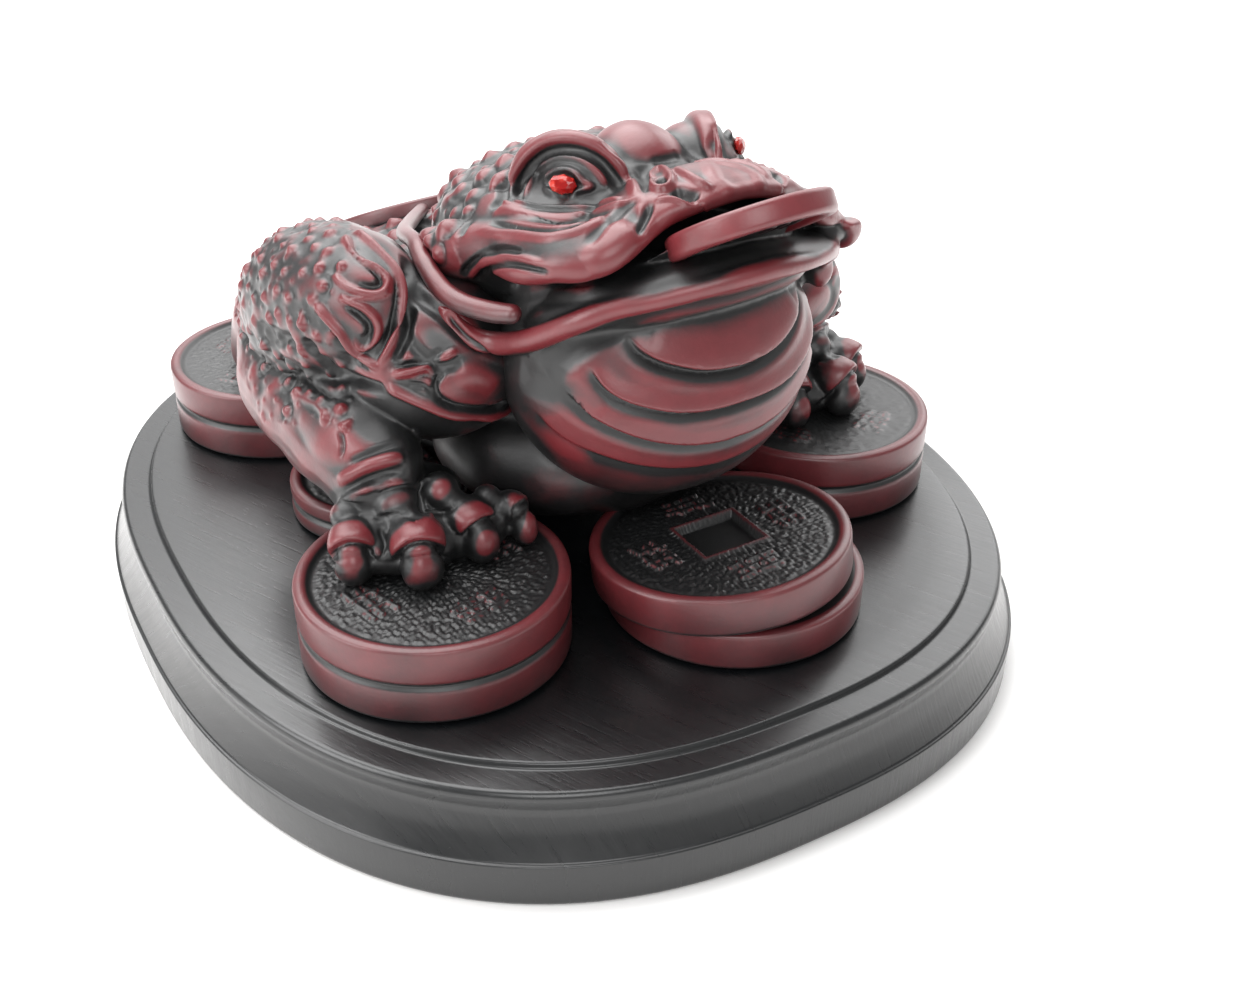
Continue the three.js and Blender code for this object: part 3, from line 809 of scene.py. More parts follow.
# %% [markdown]
# ## The throat's folds
# The bag of the throat hangs in four folds, each a soft roll of skin over a sharp crease. They
# start under the cheek and run right across to the other side. Below each crease the skin is
# painted dark: wash in the crease and painted shadow under the roll.
# %% Throat strokes
THROAT_FOLDS = [
    ([(628, 337), (639, 350), (658, 361), (682, 368), (706, 371), (732, 368), (757, 360), (780, 346),
      (797, 326), (803, 308)], 4.0, 2.3, 0.5, 1.3),
    ([(590, 368), (604, 388), (624, 401), (650, 409), (680, 413), (712, 410), (740, 402), (765, 388),
      (785, 367), (798, 344)], 3.0, 2.2, 0.6, 1.2),
    ([(566, 394), (587, 414), (614, 429), (650, 441), (686, 445), (716, 442), (745, 432), (771, 413),
      (787, 392)], 2.6, 2.2, 0.45, 0.9),
    ([(536, 412), (560, 436), (600, 455), (660, 468), (720, 462), (762, 440)], 2.2, 3.0, 0.15, 0.4),
]
THROAT_STROKES = [
    ([(545, 374), (562, 360), (600, 334), (640, 318), (670, 310), (705, 305), (755, 292), (803, 272)],
     2.4, -0.45, 0.3),
    ([(650, 335), (700, 342), (750, 332), (790, 305)], 3.6, 0.3, -0.2),
    ([(520, 372), (560, 392), (600, 420)], 3.0, -0.4, 0.2),
]
carve(head, THROAT_STROKES)
crease(head, THROAT_FOLDS, fade=6.0)
print("throat folds:", len(THROAT_FOLDS))

# %% [markdown]
# ## Warts on the head
# Behind the brows the skin is rough and set with round warts of different sizes. They are
# scattered at random but kept apart, larger ones first and a fine grain between them.
# %% Head warts
x, y, z = head.points.T
crown = (z > 45.5) & (y > 10) & (np.hypot(x / 24, (y - 9) / 27) < 1.05) & ((x < 6) | (y > 17))
hammer(head, crown, 4.5, 0.8, 3)
head.update()
scatter(head, crown & (np.abs(x) > 2), 3.2, (0.8, 1.65), 0.6, 11, dimple=0.2)
scatter(head, crown, 2.2, (0.45, 0.7), 0.5, 12)
head.soften(crown, 0.48)
head.paint[crown] += 0.3
wash_and_shade(head, sky_tree)
thin(head.piece, MOST_TRIANGLES["head"])
print("head is carved:", len(head.piece.data.polygons), "faces")

# %% [markdown]
# ## Body, haunches and hind foot
# The back slopes down from the head to the rump, and a haunch bulges over each rear pile of
# coins. The money toad has three legs, so its one hind foot comes out in the middle of the rear.
# The photograph hides all of this side, so it is plainer: scattered warts and a few skin folds.
# %% Body masses
TRUNK = {"centre": (0, 40.4, 20.1), "radii": (28.3, 45.8, 17.8), "pitch": -12}
BACK_COIN = {"y": 62, "z": 29.57, "lean": 25, "diameter": 28, "thickness": 2.6}
BODY_GRAIN = 0.48
SEAT_RADIUS = 13.9


def hind_leg():
    """The one hind leg, in the middle of the rear, with three toes"""
    up = (1, 0, 0)
    parts = [limb([(0, 72, 16), (0, 79, 9), (0, 82, 5)], [8, 6.4, 4.6], up=up)]
    for splay in (-7, 0, 7):
        spots = [(splay * 0.4, 80, 5), (splay, 85, 4.6), (splay * 1.1, 87.2, 2.6)]
        parts.append(limb(spots, [2.4, 2.8, 2.1], up=up))
        parts.append(egg(spots[1], (2.7, 2.7, 2.4), detail=3))
    return parts


def body_skin():
    """The trunk, the chest, the haunches and the hind leg"""
    parts = [egg(**TRUNK), egg((0, 12, 15.5), (24, 19, 11.5))]
    parts += both(lambda s: [egg((s * 24, 57, 15), (10.5, 19, 12.5), -10)])
    parts += hind_leg()
    return fuse("toad_body", parts, BODY_GRAIN)


body = Clay(body_skin(), BODY_GRAIN, 0.8)
x, y, z = body.points.T
spine = [(0, 30, 38.4), (0, 40, 37.2), (0, 47, 35.8)]
press(body, [], 2.4, 1.0, path=spine, mirror=False)
for start, end in ((28, 12), (38, 15), (48, 18)):
    side_line = [(-end - 6, start + 6, 26), (-end, start + 2, 33), (-6, start, 37)]
    press(body, [], 1.6, -0.8, path=side_line, paint=0.2)
haunch_fold = [(-14, 70, 12), (-15, 60, 24), (-19, 48, 28)]
press(body, [], 1.8, -1.2, path=haunch_fold, paint=0.3)
body.update()
back = (z > 20) & (body.normals[:, 2] > 0.1) & (y > 16)
hammer(body, z > 3, 6.0, 0.5, 5)
hammer(body, back, 2.4, 0.5, 6)
flat_seat = np.hypot(x, (y - BACK_COIN["y"])) < BACK_COIN["diameter"] / 2 + 1.5
scatter(body, back & ~flat_seat & (np.abs(x) > 4), 6.4, (1.2, 2.0), 0.55, 21)
body.update()
scatter(body, back & ~flat_seat, 2.6, (0.5, 0.8), 0.45, 22)
body.update()
print("body before its seat is pressed in:", body.count, "points")

# %% [markdown]
# The coin on the back lies in a seat: the skin under it is pushed down to just below the middle of
# its edge, as clay gives way to what is laid on it.
# %% Seat for the coin on the back
lean = math.radians(BACK_COIN["lean"])
coin_up = np.array([0, math.sin(lean), math.cos(lean)])
coin_centre = np.array([0, BACK_COIN["y"], BACK_COIN["z"]])
lift = (body.points - coin_centre) @ coin_up
inside = np.linalg.norm(body.points - coin_centre - np.outer(lift, coin_up), axis=1) < SEAT_RADIUS
drop = np.clip(lift - BACK_COIN["thickness"] * 0.4, 0, None) * inside
body.points -= np.outer(drop, coin_up)
wash_and_shade(body, sky_tree)
thin(body.piece, MOST_TRIANGLES["body"])
print("body is carved:", len(body.piece.data.polygons), "faces")

# %% [markdown]
# ## Arm and hand
# The upper arm lies back along the flank as one fat leaf, the forearm comes forward under it, and
# a flap of skin runs from the armpit to the throat. The hand stands on its pile of coins with
# four toes, each with two round knuckles and a blunt nail. The right arm is carved, and the left
# arm is its mirror image with the hand further back.
# %% Arm masses
SHOULDER = {"centre": (-32, 27.4, 34.8), "radii": (10.2, 21.6, 11), "pitch": -20}
FOREARM = [(-32.4, 44, 27.4), (-36.2, 35, 22), (-37, 20, 21), (-36.6, 7, 19)]
TOES = [
    {"back": (-42.2, 4.8, 16.8), "hood": (-43.4, 1.6, 15.6), "nail": (-43.9, 0.0, 12.7), "size": 3.05},
    {"back": (-37.0, 1.8, 18.4), "hood": (-36.9, -3.4, 16.0), "nail": (-37.2, -5.1, 12.9), "size": 3.5},
    {"back": (-31.0, 1.0, 18.7), "hood": (-28.9, -2.3, 15.9), "nail": (-28.5, -4.4, 12.8), "size": 3.1},
    {"back": (-25.6, -1.4, 16.8), "hood": (-23.0, -2.6, 15.3), "nail": (-21.9, -4.2, 12.4), "size": 2.4},
]
PALM = [((-34, 6, 15.6), (8, 6.6, 4.6)), ((-34.5, 1.0, 13), (9.4, 5.4, 4.2)),
        ((-38.5, 3.4, 14.2), (6, 5, 4.2)), ((-28, -1.2, 13), (6, 3.6, 4))]
ARM_GRAIN = 0.3


def toe_parts(joints):
    """A back knuckle, a domed front knuckle like a hood, and an egg-shaped nail under it"""
    back, hood, nail, size = (joints[k] for k in ("back", "hood", "nail", "size"))
    slim = size * 0.8
    return [
        limb([back, hood], [size * 0.6, size * 0.6], up=(1, 0, 0), around=16),
        egg(back, (size * 0.8, size * 0.8, size * 0.76), detail=4),
        egg(hood, (size, size, size * 0.86), detail=4),
        egg(nail, (slim, slim * 0.9, size * 0.96), -8, detail=4),
    ]


def arm_skin():
    """The right arm: shoulder, armpit, forearm, palm and toes"""
    parts = [egg(**SHOULDER), egg((-25, 13, 32), (12, 13, 11.4))]
    parts.append(egg((-36, 14, 23), (6.8, 13, 7), 10))
    parts.append(limb(FOREARM, [5.6, 7, 6.8, 6]))
    parts += [egg(place, radii, detail=4) for place, radii in PALM]
    for joints in TOES:
        parts += toe_parts(joints)
    return fuse("arm_right", parts, ARM_GRAIN)


arm = Clay(arm_skin(), ARM_GRAIN, 0.42)
print("arm before carving:", arm.count, "points")

# %% [markdown]
# The shoulder carries leaf-shaped ridges, like flames, cut round with a fine line. The flap has a
# curled end. The forearm is smooth below with ringed warts above, and each toe ends in an oval
# nail with a red middle.
# %% Arm strokes
SHOULDER_STROKES = [
    ([(345, 235), (351, 248), (362, 260), (378, 269), (387, 279), (385, 290), (374, 294), (357, 291),
      (343, 284), (334, 274)], 0.65, 0.7, -0.25),
    ([(355, 232), (368, 241), (382, 253), (394, 267), (401, 283), (403, 303), (400, 326), (391, 347),
      (380, 366)], 0.8, 0.8, -0.25),
    ([(340, 296), (352, 303), (366, 309), (377, 320), (378, 333), (371, 345), (361, 347), (354, 338)],
     0.65, 0.7, -0.25),
    ([(315, 303), (325, 315), (340, 332), (352, 348), (365, 358), (381, 369)], 0.9, 0.9, -0.3),
    ([(340, 300), (360, 299), (380, 297), (394, 290)], 0.4, 0.4, -0.1),
    ([(348, 242), (358, 257), (373, 268), (381, 280), (374, 286), (358, 284)], 0.7, -0.7, 0.25),
    ([(396, 264), (398, 287), (395, 312), (388, 337), (378, 357)], 0.55, -0.6, 0.25),
    ([(345, 304), (360, 316), (369, 327), (367, 338), (360, 337)], 0.7, -0.8, 0.3),
    ([(327, 322), (340, 341), (355, 357), (372, 371)], 0.6, -0.6, 0.25),
    ([(303, 338), (320, 356), (340, 373), (365, 384), (386, 389)], 1.3, -1.5, 0.5),
    ([(407, 268), (410, 300), (405, 335), (394, 362)], 1.1, -1.0, 0.45),
    ([(258, 330), (275, 338), (296, 343)], 2.2, -0.9, 0.4),
    ([(405, 258), (411, 280), (424, 300), (446, 317), (466, 334), (486, 350)], 1.6, -0.8, 0.6),
    ([(404, 330), (418, 352), (440, 366), (462, 362)], 1.3, -0.5, 0.5),
]
FLAP_STROKES = [
    ([(392, 375), (417, 370), (440, 360), (458, 350)], 0.9, 0.8, -0.2),
    ([(395, 368), (420, 362), (442, 352)], 0.8, -0.8, 0.35),
    ([(387, 386), (405, 395), (430, 406), (455, 415), (480, 417), (510, 412), (530, 402)], 1.1, 1.0, -0.25),
    ([(446, 368), (437, 380), (436, 393), (446, 404), (467, 410), (492, 410), (507, 400)], 0.8, -0.9, 0.35),
    ([(455, 372), (475, 378), (497, 388)], 2.2, 0.3, -0.2),
    ([(408, 384), (425, 386), (432, 397)], 0.5, -0.5, 0.2),
    ([(412, 375), (428, 376), (440, 384)], 0.5, -0.4, 0.2),
]
WRIST_STROKES = [
    ([(338, 482), (352, 474), (368, 466), (386, 460), (404, 457)], 1.3, 0.8, -0.45),
    ([(350, 462), (368, 455), (385, 449), (402, 444)], 0.9, -0.5, 0.3),
    ([(344, 490), (362, 481), (386, 473), (404, 470)], 0.9, -0.6, 0.35),
    ([(345, 497), (370, 489), (392, 484)], 0.6, 0.5, 0.0),
    ([(340, 430), (343, 445), (341, 458)], 0.6, -0.5, 0.1),
    ([(290, 392), (312, 402), (330, 418)], 0.9, 0.5, -0.1),
    ([(300, 372), (322, 392), (340, 400)], 0.9, -0.7, 0.3),
]
HOOD_EDGES = [
    ([(329, 563), (332, 552), (340, 544), (352, 541), (364, 543), (372, 550), (378, 561)],
     2.2, 1.4, 0.4, 1.0),
    ([(394, 560), (399, 550), (408, 543), (420, 540), (432, 541), (442, 547), (447, 557)],
     2.2, 1.4, 0.4, 1.0),
    ([(462, 535), (468, 528), (476, 522), (485, 517), (495, 515)], 2.0, 1.4, 0.4, 1.0),
    ([(511, 520), (513, 511), (518, 503), (526, 498), (534, 499)], 0.8, 1.0, 0.3, 0.5),
    ([(375, 518), (386, 514), (398, 513), (410, 515), (420, 521)], 0.8, 1.1, 0.2, 0.5),
    ([(428, 511), (437, 511), (448, 509), (456, 503)], 0.8, 1.1, 0.2, 0.5),
]
HAND_LINES = [
    ([(376, 493), (384, 486), (400, 482), (414, 481)], 0.5, 0.5, -0.05),
    ([(414, 494), (420, 484), (430, 477)], 0.5, 0.45, 0.0),
    ([(425, 498), (427, 508), (432, 517)], 0.5, 0.5, 0.0),
    ([(338, 500), (348, 498), (362, 500)], 0.5, 0.5, -0.1),
    ([(380, 528), (384, 545), (380, 560)], 0.6, -0.6, 0.3),
]
NAILS = [((353, 559), 1.4, 7), ((423, 560), 1.4, 11), ((485, 543), 1.2, 13), ((529, 522), 0.9, 14)]
KNUCKLES = [((350, 531), 2.5), ((334, 545), 1.6), ((366, 538), 1.5), ((418, 528), 2.7), ((400, 540), 1.8),
            ((437, 537), 1.7), ((469, 508), 2.4), ((486, 508), 1.7), ((398, 499), 3.0), ((441, 487), 2.0),
            ((512, 498), 1.5)]
# Patches of painted shade over the nails' lower parts and the toes' tips
TOE_TIP_SHADE = [((353, 588), 2.4), ((339, 570), 1.3), ((367, 572), 1.3), ((424, 594), 2.4), ((404, 568), 1.4),
            ((444, 574), 1.4), ((480, 572), 2.4), ((466, 547), 1.4), ((520, 548), 2.0), ((513, 522), 1.2)]
# The patches at (410, 425), (420, 455) and (380, 415) are painted shade over the forearm's right part
ARM_PATCHES = [
    ((425, 325), 4.5, 0.35), ((410, 425), 7.0, 0.9), ((420, 455), 6.0, 0.8), ((380, 415), 4.0, 0.4),
    ((332, 425), 3.2, -0.3), ((345, 450), 2.6, -0.2), ((480, 392), 3.0, -0.25),
    ((450, 350), 4.0, 0.3), ((300, 380), 4.0, 0.15), ((365, 262), 3.5, 0.2), ((365, 325), 3.5, 0.25),
]
print("arm strokes:", len(SHOULDER_STROKES) + len(FLAP_STROKES) + len(WRIST_STROKES))

# %% [markdown]
# The whole hand is painted darker than the arm first, and the knuckles and the middles of the
# nails are wiped clean again. The toes' tips get painted shade, where the nails' lower parts sink
# into shadow.
# %% Carve the arm
HAND_OUTLINE = [(322, 500), (400, 470), (470, 455), (560, 480), (560, 620), (322, 620)]


def nail(clay, centre, across, tall):
    """The red middle of a nail"""
    middle = [(centre[0], centre[1] - tall * 0.5), (centre[0], centre[1] + tall * 0.5)]
    press(clay, middle, across, 0.1, mirror=False, fade=0.01, paint=-1.5)


FLAP_OUTLINE = [(436, 366), (470, 352), (506, 368), (512, 396), (480, 410), (444, 402)]
arm_view = in_photo(arm.points)
arm.soften(enclosed(arm_view, FLAP_OUTLINE) & (arm.points[:, 1] < 14), 2.0)
hand = enclosed(arm_view, HAND_OUTLINE) & (arm.points[:, 2] < 22)
arm.paint += 0.08
arm.paint[hand] += 0.4
hammer(arm, arm.points[:, 2] > 9, 5.0, 0.45, 8)
arm.update()
for strokes in (SHOULDER_STROKES, FLAP_STROKES, WRIST_STROKES, HAND_LINES):
    carve(arm, strokes, mirror=False)
crease(arm, HOOD_EDGES, mirror=False, fade=1.0)
for centre, across, tall in NAILS:
    nail(arm, centre, across, tall)
for pixel, radius in KNUCKLES:
    shade(arm, pixel, radius, -0.85, mirror=False)
for pixel, radius in TOE_TIP_SHADE:
    shade(arm, pixel, radius, 0.7, mirror=False)
for pixel, radius, amount in ARM_PATCHES:
    shade(arm, pixel, radius, amount, mirror=False)
arm.update()
print("hand darkened over", int(hand.sum()), "points")

# %% [markdown]
# Warts cover the shoulder where the leaves leave room: a few large ones in their own rings and
# many small ones between, on a rough ground.
# %% Arm warts
LEAF_OUTLINE = [(344, 232), (372, 236), (402, 262), (408, 300), (402, 340), (388, 372), (362, 366),
                (335, 335), (316, 305), (334, 296), (330, 276), (346, 262)]
x, y, z = arm.points.T
elbow = enclosed(arm_view, [(245, 335), (300, 340), (312, 372), (300, 425), (262, 420), (245, 380)])
rough = (z > 27) & (y > 8) & (arm_view[:, 0] < 350) & ~enclosed(arm_view, LEAF_OUTLINE)
hammer(arm, rough | elbow, 2.4, 0.35, 9)
arm.update()
big = scatter(arm, rough, 2.6, (0.6, 0.9), 0.75, 31)
scatter(arm, rough | elbow, 1.9, (0.3, 0.45), 0.7, 32)
rings = arm.land([(266, 367), (289, 364), (290, 383), (288, 411), (265, 345), (303, 324)])
beads(arm, rings, np.full(len(rings), 0.8), 0.9, dimple=0.35)
arm.soften(rough | elbow, 0.32)
arm.paint[rough] += 0.26
wash_and_shade(arm, sky_tree)
print("arm is carved:", len(arm.piece.data.polygons), "faces, large warts:", len(big))

# %% [markdown]
# The left arm is a mirrored copy. Its hand stands further back, so the lower part of the copy is
# shifted, more and more towards the hand. The photograph shows a little of this arm's front beyond
# the throat, further forward and with a lower shoulder than on the right. A mirrored mesh is inside
# out, so its faces are turned. Its front is softened, because the flap's strokes end there in the
# open and not against the throat.
# %% Left arm
HAND_REACH, FRONT_REACH, SHOULDER_SINK = 4.8, -5.0, 3.0
FRONT_BEFORE, FRONT_ABOVE = 3, 23


def mirrored_arm(source):
    """The left arm: a mirrored copy with its hand, front and shoulder moved"""
    copy = source.copy()
    copy.data = source.data.copy()
    copy.name = copy.data.name = "arm_left"
    bpy.context.collection.objects.link(copy)
    points = points_of(copy) * [-1, 1, 1]
    y, z = points[:, 1], points[:, 2]
    low = ramp(z, 29, 22) * ramp(y, 34, 12)
    front = ramp(z, 22, 28) * ramp(z, 42, 34) * ramp(y, 18, 4)
    top = ramp(z, 34, 46)
    points[:, 1] += HAND_REACH * low + FRONT_REACH * front
    points[:, 2] -= SHOULDER_SINK * top
    copy.data.vertices.foreach_set("co", points.ravel())
    copy.data.flip_normals()
    in_front = (points[:, 1] < FRONT_BEFORE) & (points[:, 2] > FRONT_ABOVE)
    Clay(copy, ARM_GRAIN, 0).soften(in_front, 1.3)
    return copy


arm_left = mirrored_arm(arm.piece)
thin(arm.piece, MOST_TRIANGLES["arm"])
thin(arm_left, MOST_TRIANGLES["left arm"])
print("left arm:", len(arm_left.data.polygons), "faces")

# %% [markdown]
# ## Cord
# A cord comes out of each corner of the mouth, goes over the shoulder and ends under the coin on
# the back. It was cast with the toad and rubbed red, so it is a plain roll, pressed a little flat.
# Its wash grows towards its underside, as painted shade.
# %% Cord
CORD = [(22.9, -4.7, 42.9), (23.7, -2.6, 42.5), (24.5, 0, 42.2), (25.3, 3, 42.1), (25.8, 6, 42.5),
        (25.8, 9, 43.4), (25.2, 13, 44.5), (23.8, 17.5, 45), (20.4, 27, 42.6), (13.4, 39, 39), (6, 50, 36)]
CORD_SIZES = [1.25, 1.35, 1.35, 1.35, 1.3, 1.25, 1.2, 1.1, 1.2, 1.2, 1.1]


def cord(side):
    """The cord on one side, from the mouth's corner to the coin on the back"""
    piece = limb(flip(side, CORD), CORD_SIZES, flat=0.85, up=(side * 0.5, -0.2, 0.85), around=24, step=0.5)
    piece.name = piece.data.name = "cord_left" if side > 0 else "cord_right"
    mend(piece)
    bpy.ops.object.shade_smooth()
    return piece


cords = [cord(1), cord(-1)]
for piece in cords:
    # Painted shade: more wash where the cord faces down, less on its top
    store(piece, "wash_and_shade", [0.56 - 0.25 * vertex.normal.z for vertex in piece.data.vertices])
print("cords:", [len(piece.data.polygons) for piece in cords])

# %% [markdown]
# ## Coins
# Each coin is a turned disc: a round-edged rim, a sunk face with a pebbled ground, in some a square
# hole with a thin raised border, and rows of shallow raised strokes where such a coin is inscribed.
# The disc is spun from a profile, and the face is then raised and sunk point by point.
# %% Coin tools
COIN = {"diameter": 35.0, "thickness": 5.35, "rim": 2.2, "recess": 0.8, "hole": 0.0}
SMALL_COIN = {"diameter": 26.0, "thickness": 2.75, "rim": 2.2, "recess": 0.8, "hole": 0.0}
CHEST_HOLE = 8.8
PILE_GROOVE, RIM_WEAR = 0.7, 0.05
PEBBLE_PITCH = 0.72
FINE_NET, COARSE_NET = (400, 0.26), (220, 0.42)


def rounded(profile, radius, cuts=3):
    """A profile of (radius, height) points with its corners rounded"""
    out = [profile[0]]
    for before, corner, after in zip(profile[:-2], profile[1:-1], profile[2:]):
        before, corner, after = (np.array(p, float) for p in (before, corner, after))
        r = min(radius, np.linalg.norm(corner - before) * 0.45, np.linalg.norm(after - corner) * 0.45)
        a = corner + unit(before - corner) * r
        b = corner + unit(after - corner) * r
        for t in np.linspace(0, 1, cuts + 1):
            out.append(tuple((1 - t) ** 2 * a + 2 * t * (1 - t) * corner + t ** 2 * b))
    return out + [profile[-1]]


def spun(name, profile, steps):
    """A closed turned piece from a profile of (radius, height) that starts and ends on the z axis"""
    mesh = bpy.data.meshes.new(name)
    mesh.from_pydata([(r, 0, z) for r, z in profile], [(i, i + 1) for i in range(len(profile) - 1)], [])
    piece = bpy.data.objects.new(name, mesh)
    bpy.context.collection.objects.link(piece)
    only(piece)
    bpy.ops.object.mode_set(mode="EDIT")
    bpy.ops.mesh.select_all(action="SELECT")
    bpy.ops.mesh.spin(steps=steps, angle=2 * math.pi, center=(0, 0, 0), axis=(0, 0, 1))
    bpy.ops.object.mode_set(mode="OBJECT")
    mend(piece)
    bpy.ops.object.shade_smooth()
    return piece


def pebbles(spots, radius, seed):
    """Height of a ground of small round pebbles at these flat points, in mm"""
    random = np.random.default_rng(seed)
    line = np.arange(-radius, radius, PEBBLE_PITCH)
    cells = np.stack(np.meshgrid(line, line), -1).reshape(-1, 2)
    centres = cells + random.uniform(-0.3, 0.3, cells.shape) * PEBBLE_PITCH
    tall = random.uniform(0.1, 0.3, len(centres))
    tree = KDTree(len(centres))
    for i, (cx, cy) in enumerate(centres):
        tree.insert((cx, cy, 0), i)
    tree.balance()
    height = np.zeros(len(spots))
    for i, (px, py) in enumerate(spots):
        _, k, gap = tree.find((px, py, 0))
        height[i] = tall[k] * math.sqrt(max(0, 1 - (gap / (PEBBLE_PITCH * 0.56)) ** 2))
    return height


print("coins can be turned")

# %% [markdown]
# On such coins four signs stand round the square hole. Here they are rows of shallow strokes that
# spell nothing: a few bars across and two posts in each place, at random lengths.
# %% Coin faces
def bar(spots, start, end, half):
    """1 on a round-ended bar between two flat points, fading to 0 over its edge"""
    way = np.array(end) - start
    t = np.clip((spots - start) @ way / (way @ way), 0, 1)
    gap = np.linalg.norm(spots - start - t[:, None] * way, axis=1)
    return ramp(gap, half + 0.16, half - 0.1)


def stroke_rows(spots, radius, hole_turn, seed):
    """Four rows of raised strokes round the hole, none of them a letter"""
    random = np.random.default_rng(seed)
    raised = np.zeros(len(spots))
    for quarter in range(4):
        a = math.radians(hole_turn + 90 * quarter)
        out, side = np.array([math.sin(a), -math.cos(a)]), np.array([math.cos(a), math.sin(a)])
        for row in (-1, 0, 1):
            middle = out * (radius * 0.63 + row * 1.5)
            reach = random.uniform(2.3, 3.3)
            split = random.uniform(-0.3, 0.3) * reach
            tilt = out * random.uniform(-0.5, 0.5)
            left = bar(spots, middle - side * reach - tilt, middle + side * (split - 0.5), 0.36)
            right = bar(spots, middle + side * (split + 0.5), middle + side * reach + tilt, 0.36)
            raised = np.maximum(raised, np.maximum(left, right))
        for post in (-0.6, 0.55):
            middle = out * radius * 0.63 + side * post * 2.6
            raised = np.maximum(raised, bar(spots, middle - out * 2.0, middle + out * 1.6, 0.3))
    return raised


def face_relief(spots, radius, hole, hole_turn, seed):
    """Height above the sunk face, and how much black wash lies there"""
    a = math.radians(hole_turn)
    turned_spots = spots @ np.array([[math.cos(a), -math.sin(a)], [math.sin(a), math.cos(a)]])
    square = np.abs(turned_spots).max(1)
    grain = pebbles(spots, radius, seed)
    raised = stroke_rows(spots, radius, hole_turn, seed + 1)
    height = grain * (1 - raised) + 0.55 * raised
    dark = 1.0 - grain * 0.25 - raised * (1 - raised) * 2.2 - raised * 0.1
    if hole > 0:
        border = ramp(square, hole / 2 - 0.1, hole / 2 + 0.1)
        border *= 1 - ramp(square, hole / 2 + 0.45, hole / 2 + 0.7)
        sunk = 1 - ramp(square, hole / 2 - 0.25, hole / 2 + 0.05)
        height = height * (1 - border) + 0.5 * border
        height = height * (1 - sunk) - COIN["recess"] * sunk
        dark = dark - border * 0.45 + sunk * 0.2
    return height, dark


print("coin faces can be raised and sunk")

# %% [markdown]
# The piles were cast in one, so a pile is one turned piece with a groove where two coins meet.
# After the relief, the outside is worn a little by a slow wave round the rim, so that the wall
# isn't a perfect cylinder, and the wash is laid: dark in the grooves and the sunk face. Painted
# shade darkens the foot of the pile, where it meets the board.
# %% Piles of coins
def coin_pile(name, size, count=2, hole_turn=0.0, seed=1, fine=True, relief=1.0, open_face=True):
    """A pile of equal coins with a groove between them. Relief below 1 is a worn face"""
    r, t, groove = size["diameter"] / 2, size["thickness"], PILE_GROOVE
    steps, ring = FINE_NET if fine else COARSE_NET
    profile = [(0, 0), (r, 0)]
    for i in range(1, count):
        profile += [(r, i * t - groove), (r - groove, i * t), (r, i * t + groove)]
    top, inner = count * t, r - size["rim"]
    floor_height = top - size["recess"]
    profile += [(r, top - 0.3), (r - 0.9, top), (r - 1.5, top - 0.1), (inner, floor_height),
                (0, floor_height)]
    profile = rounded(profile, 0.6)
    if open_face:
        rings = np.arange(inner - 0.75, 0.15, -ring)
        profile = profile[:-1] + [(radius, floor_height) for radius in rings] + [profile[-1]]
    piece = spun(name, profile, steps)
    finish_coin(piece, size, count, hole_turn, seed, relief)
    return piece


def finish_coin(piece, size, count, hole_turn, seed, relief):
    """Raises the face's relief, wears the rim, lays the wash and paints shade at the pile's foot"""
    r, top = size["diameter"] / 2, size["thickness"] * count
    inner, floor_height = r - size["rim"], top - size["recess"]
    points = points_of(piece)
    radius = np.hypot(points[:, 0], points[:, 1])
    angle = np.arctan2(points[:, 1], points[:, 0])
    wave = np.sin(angle * 3 + seed) + 0.6 * np.sin(angle * 7 + seed * 2) + 0.4 * np.sin(angle * 13)
    in_groove = ramp(r - radius, 0.05, 0.4) * (points[:, 2] < top - 1.2) * (points[:, 2] > 0.8)
    amount = 0.35 + 0.04 * wave + 0.8 * in_groove + 0.08 * (points[:, 2] < (count - 1) * size["thickness"])
    # Painted shade along the foot of the pile, where it meets the board
    amount += 0.35 * ramp(0.9 - points[:, 2], 0, 0.7)
    inner_slope = ramp(floor_height + 0.75 - points[:, 2], 0, 0.5) * (radius < r - 1.3) * (points[:, 2] > 1)
    amount = np.maximum(amount, 0.35 + 0.65 * inner_slope)
    face = (radius < inner - 0.3) & (points[:, 2] > floor_height - 0.2)
    height, dark = face_relief(points[face][:, :2], inner, size["hole"], hole_turn, seed)
    amount[face] = dark
    points[face, 2] += relief * height * ramp(inner - 0.3 - radius[face], 0, 0.4)
    outside = radius > r - 0.1
    points[outside, :2] *= (1 - RIM_WEAR * (1 + wave[outside] * 0.5) / r)[:, None]
    piece.data.vertices.foreach_set("co", points.ravel())
    piece.data.update()
    store(piece, "wash_and_shade", np.clip(amount, 0, 1))


def lay(piece, place, lean=(0, 0), turn=0.0):
    """Sets a coin down: turned about its own axis, leant about x and y, then moved"""
    matrix = Matrix.Translation(place) @ Matrix.Rotation(math.radians(lean[1]), 4, "Y")
    matrix = matrix @ Matrix.Rotation(math.radians(lean[0]), 4, "X")
    matrix = matrix @ Matrix.Rotation(math.radians(turn), 4, "Z")
    piece.data.transform(matrix)
    return piece


print("coin:", COIN["diameter"], "mm wide and", COIN["thickness"], "mm thick")

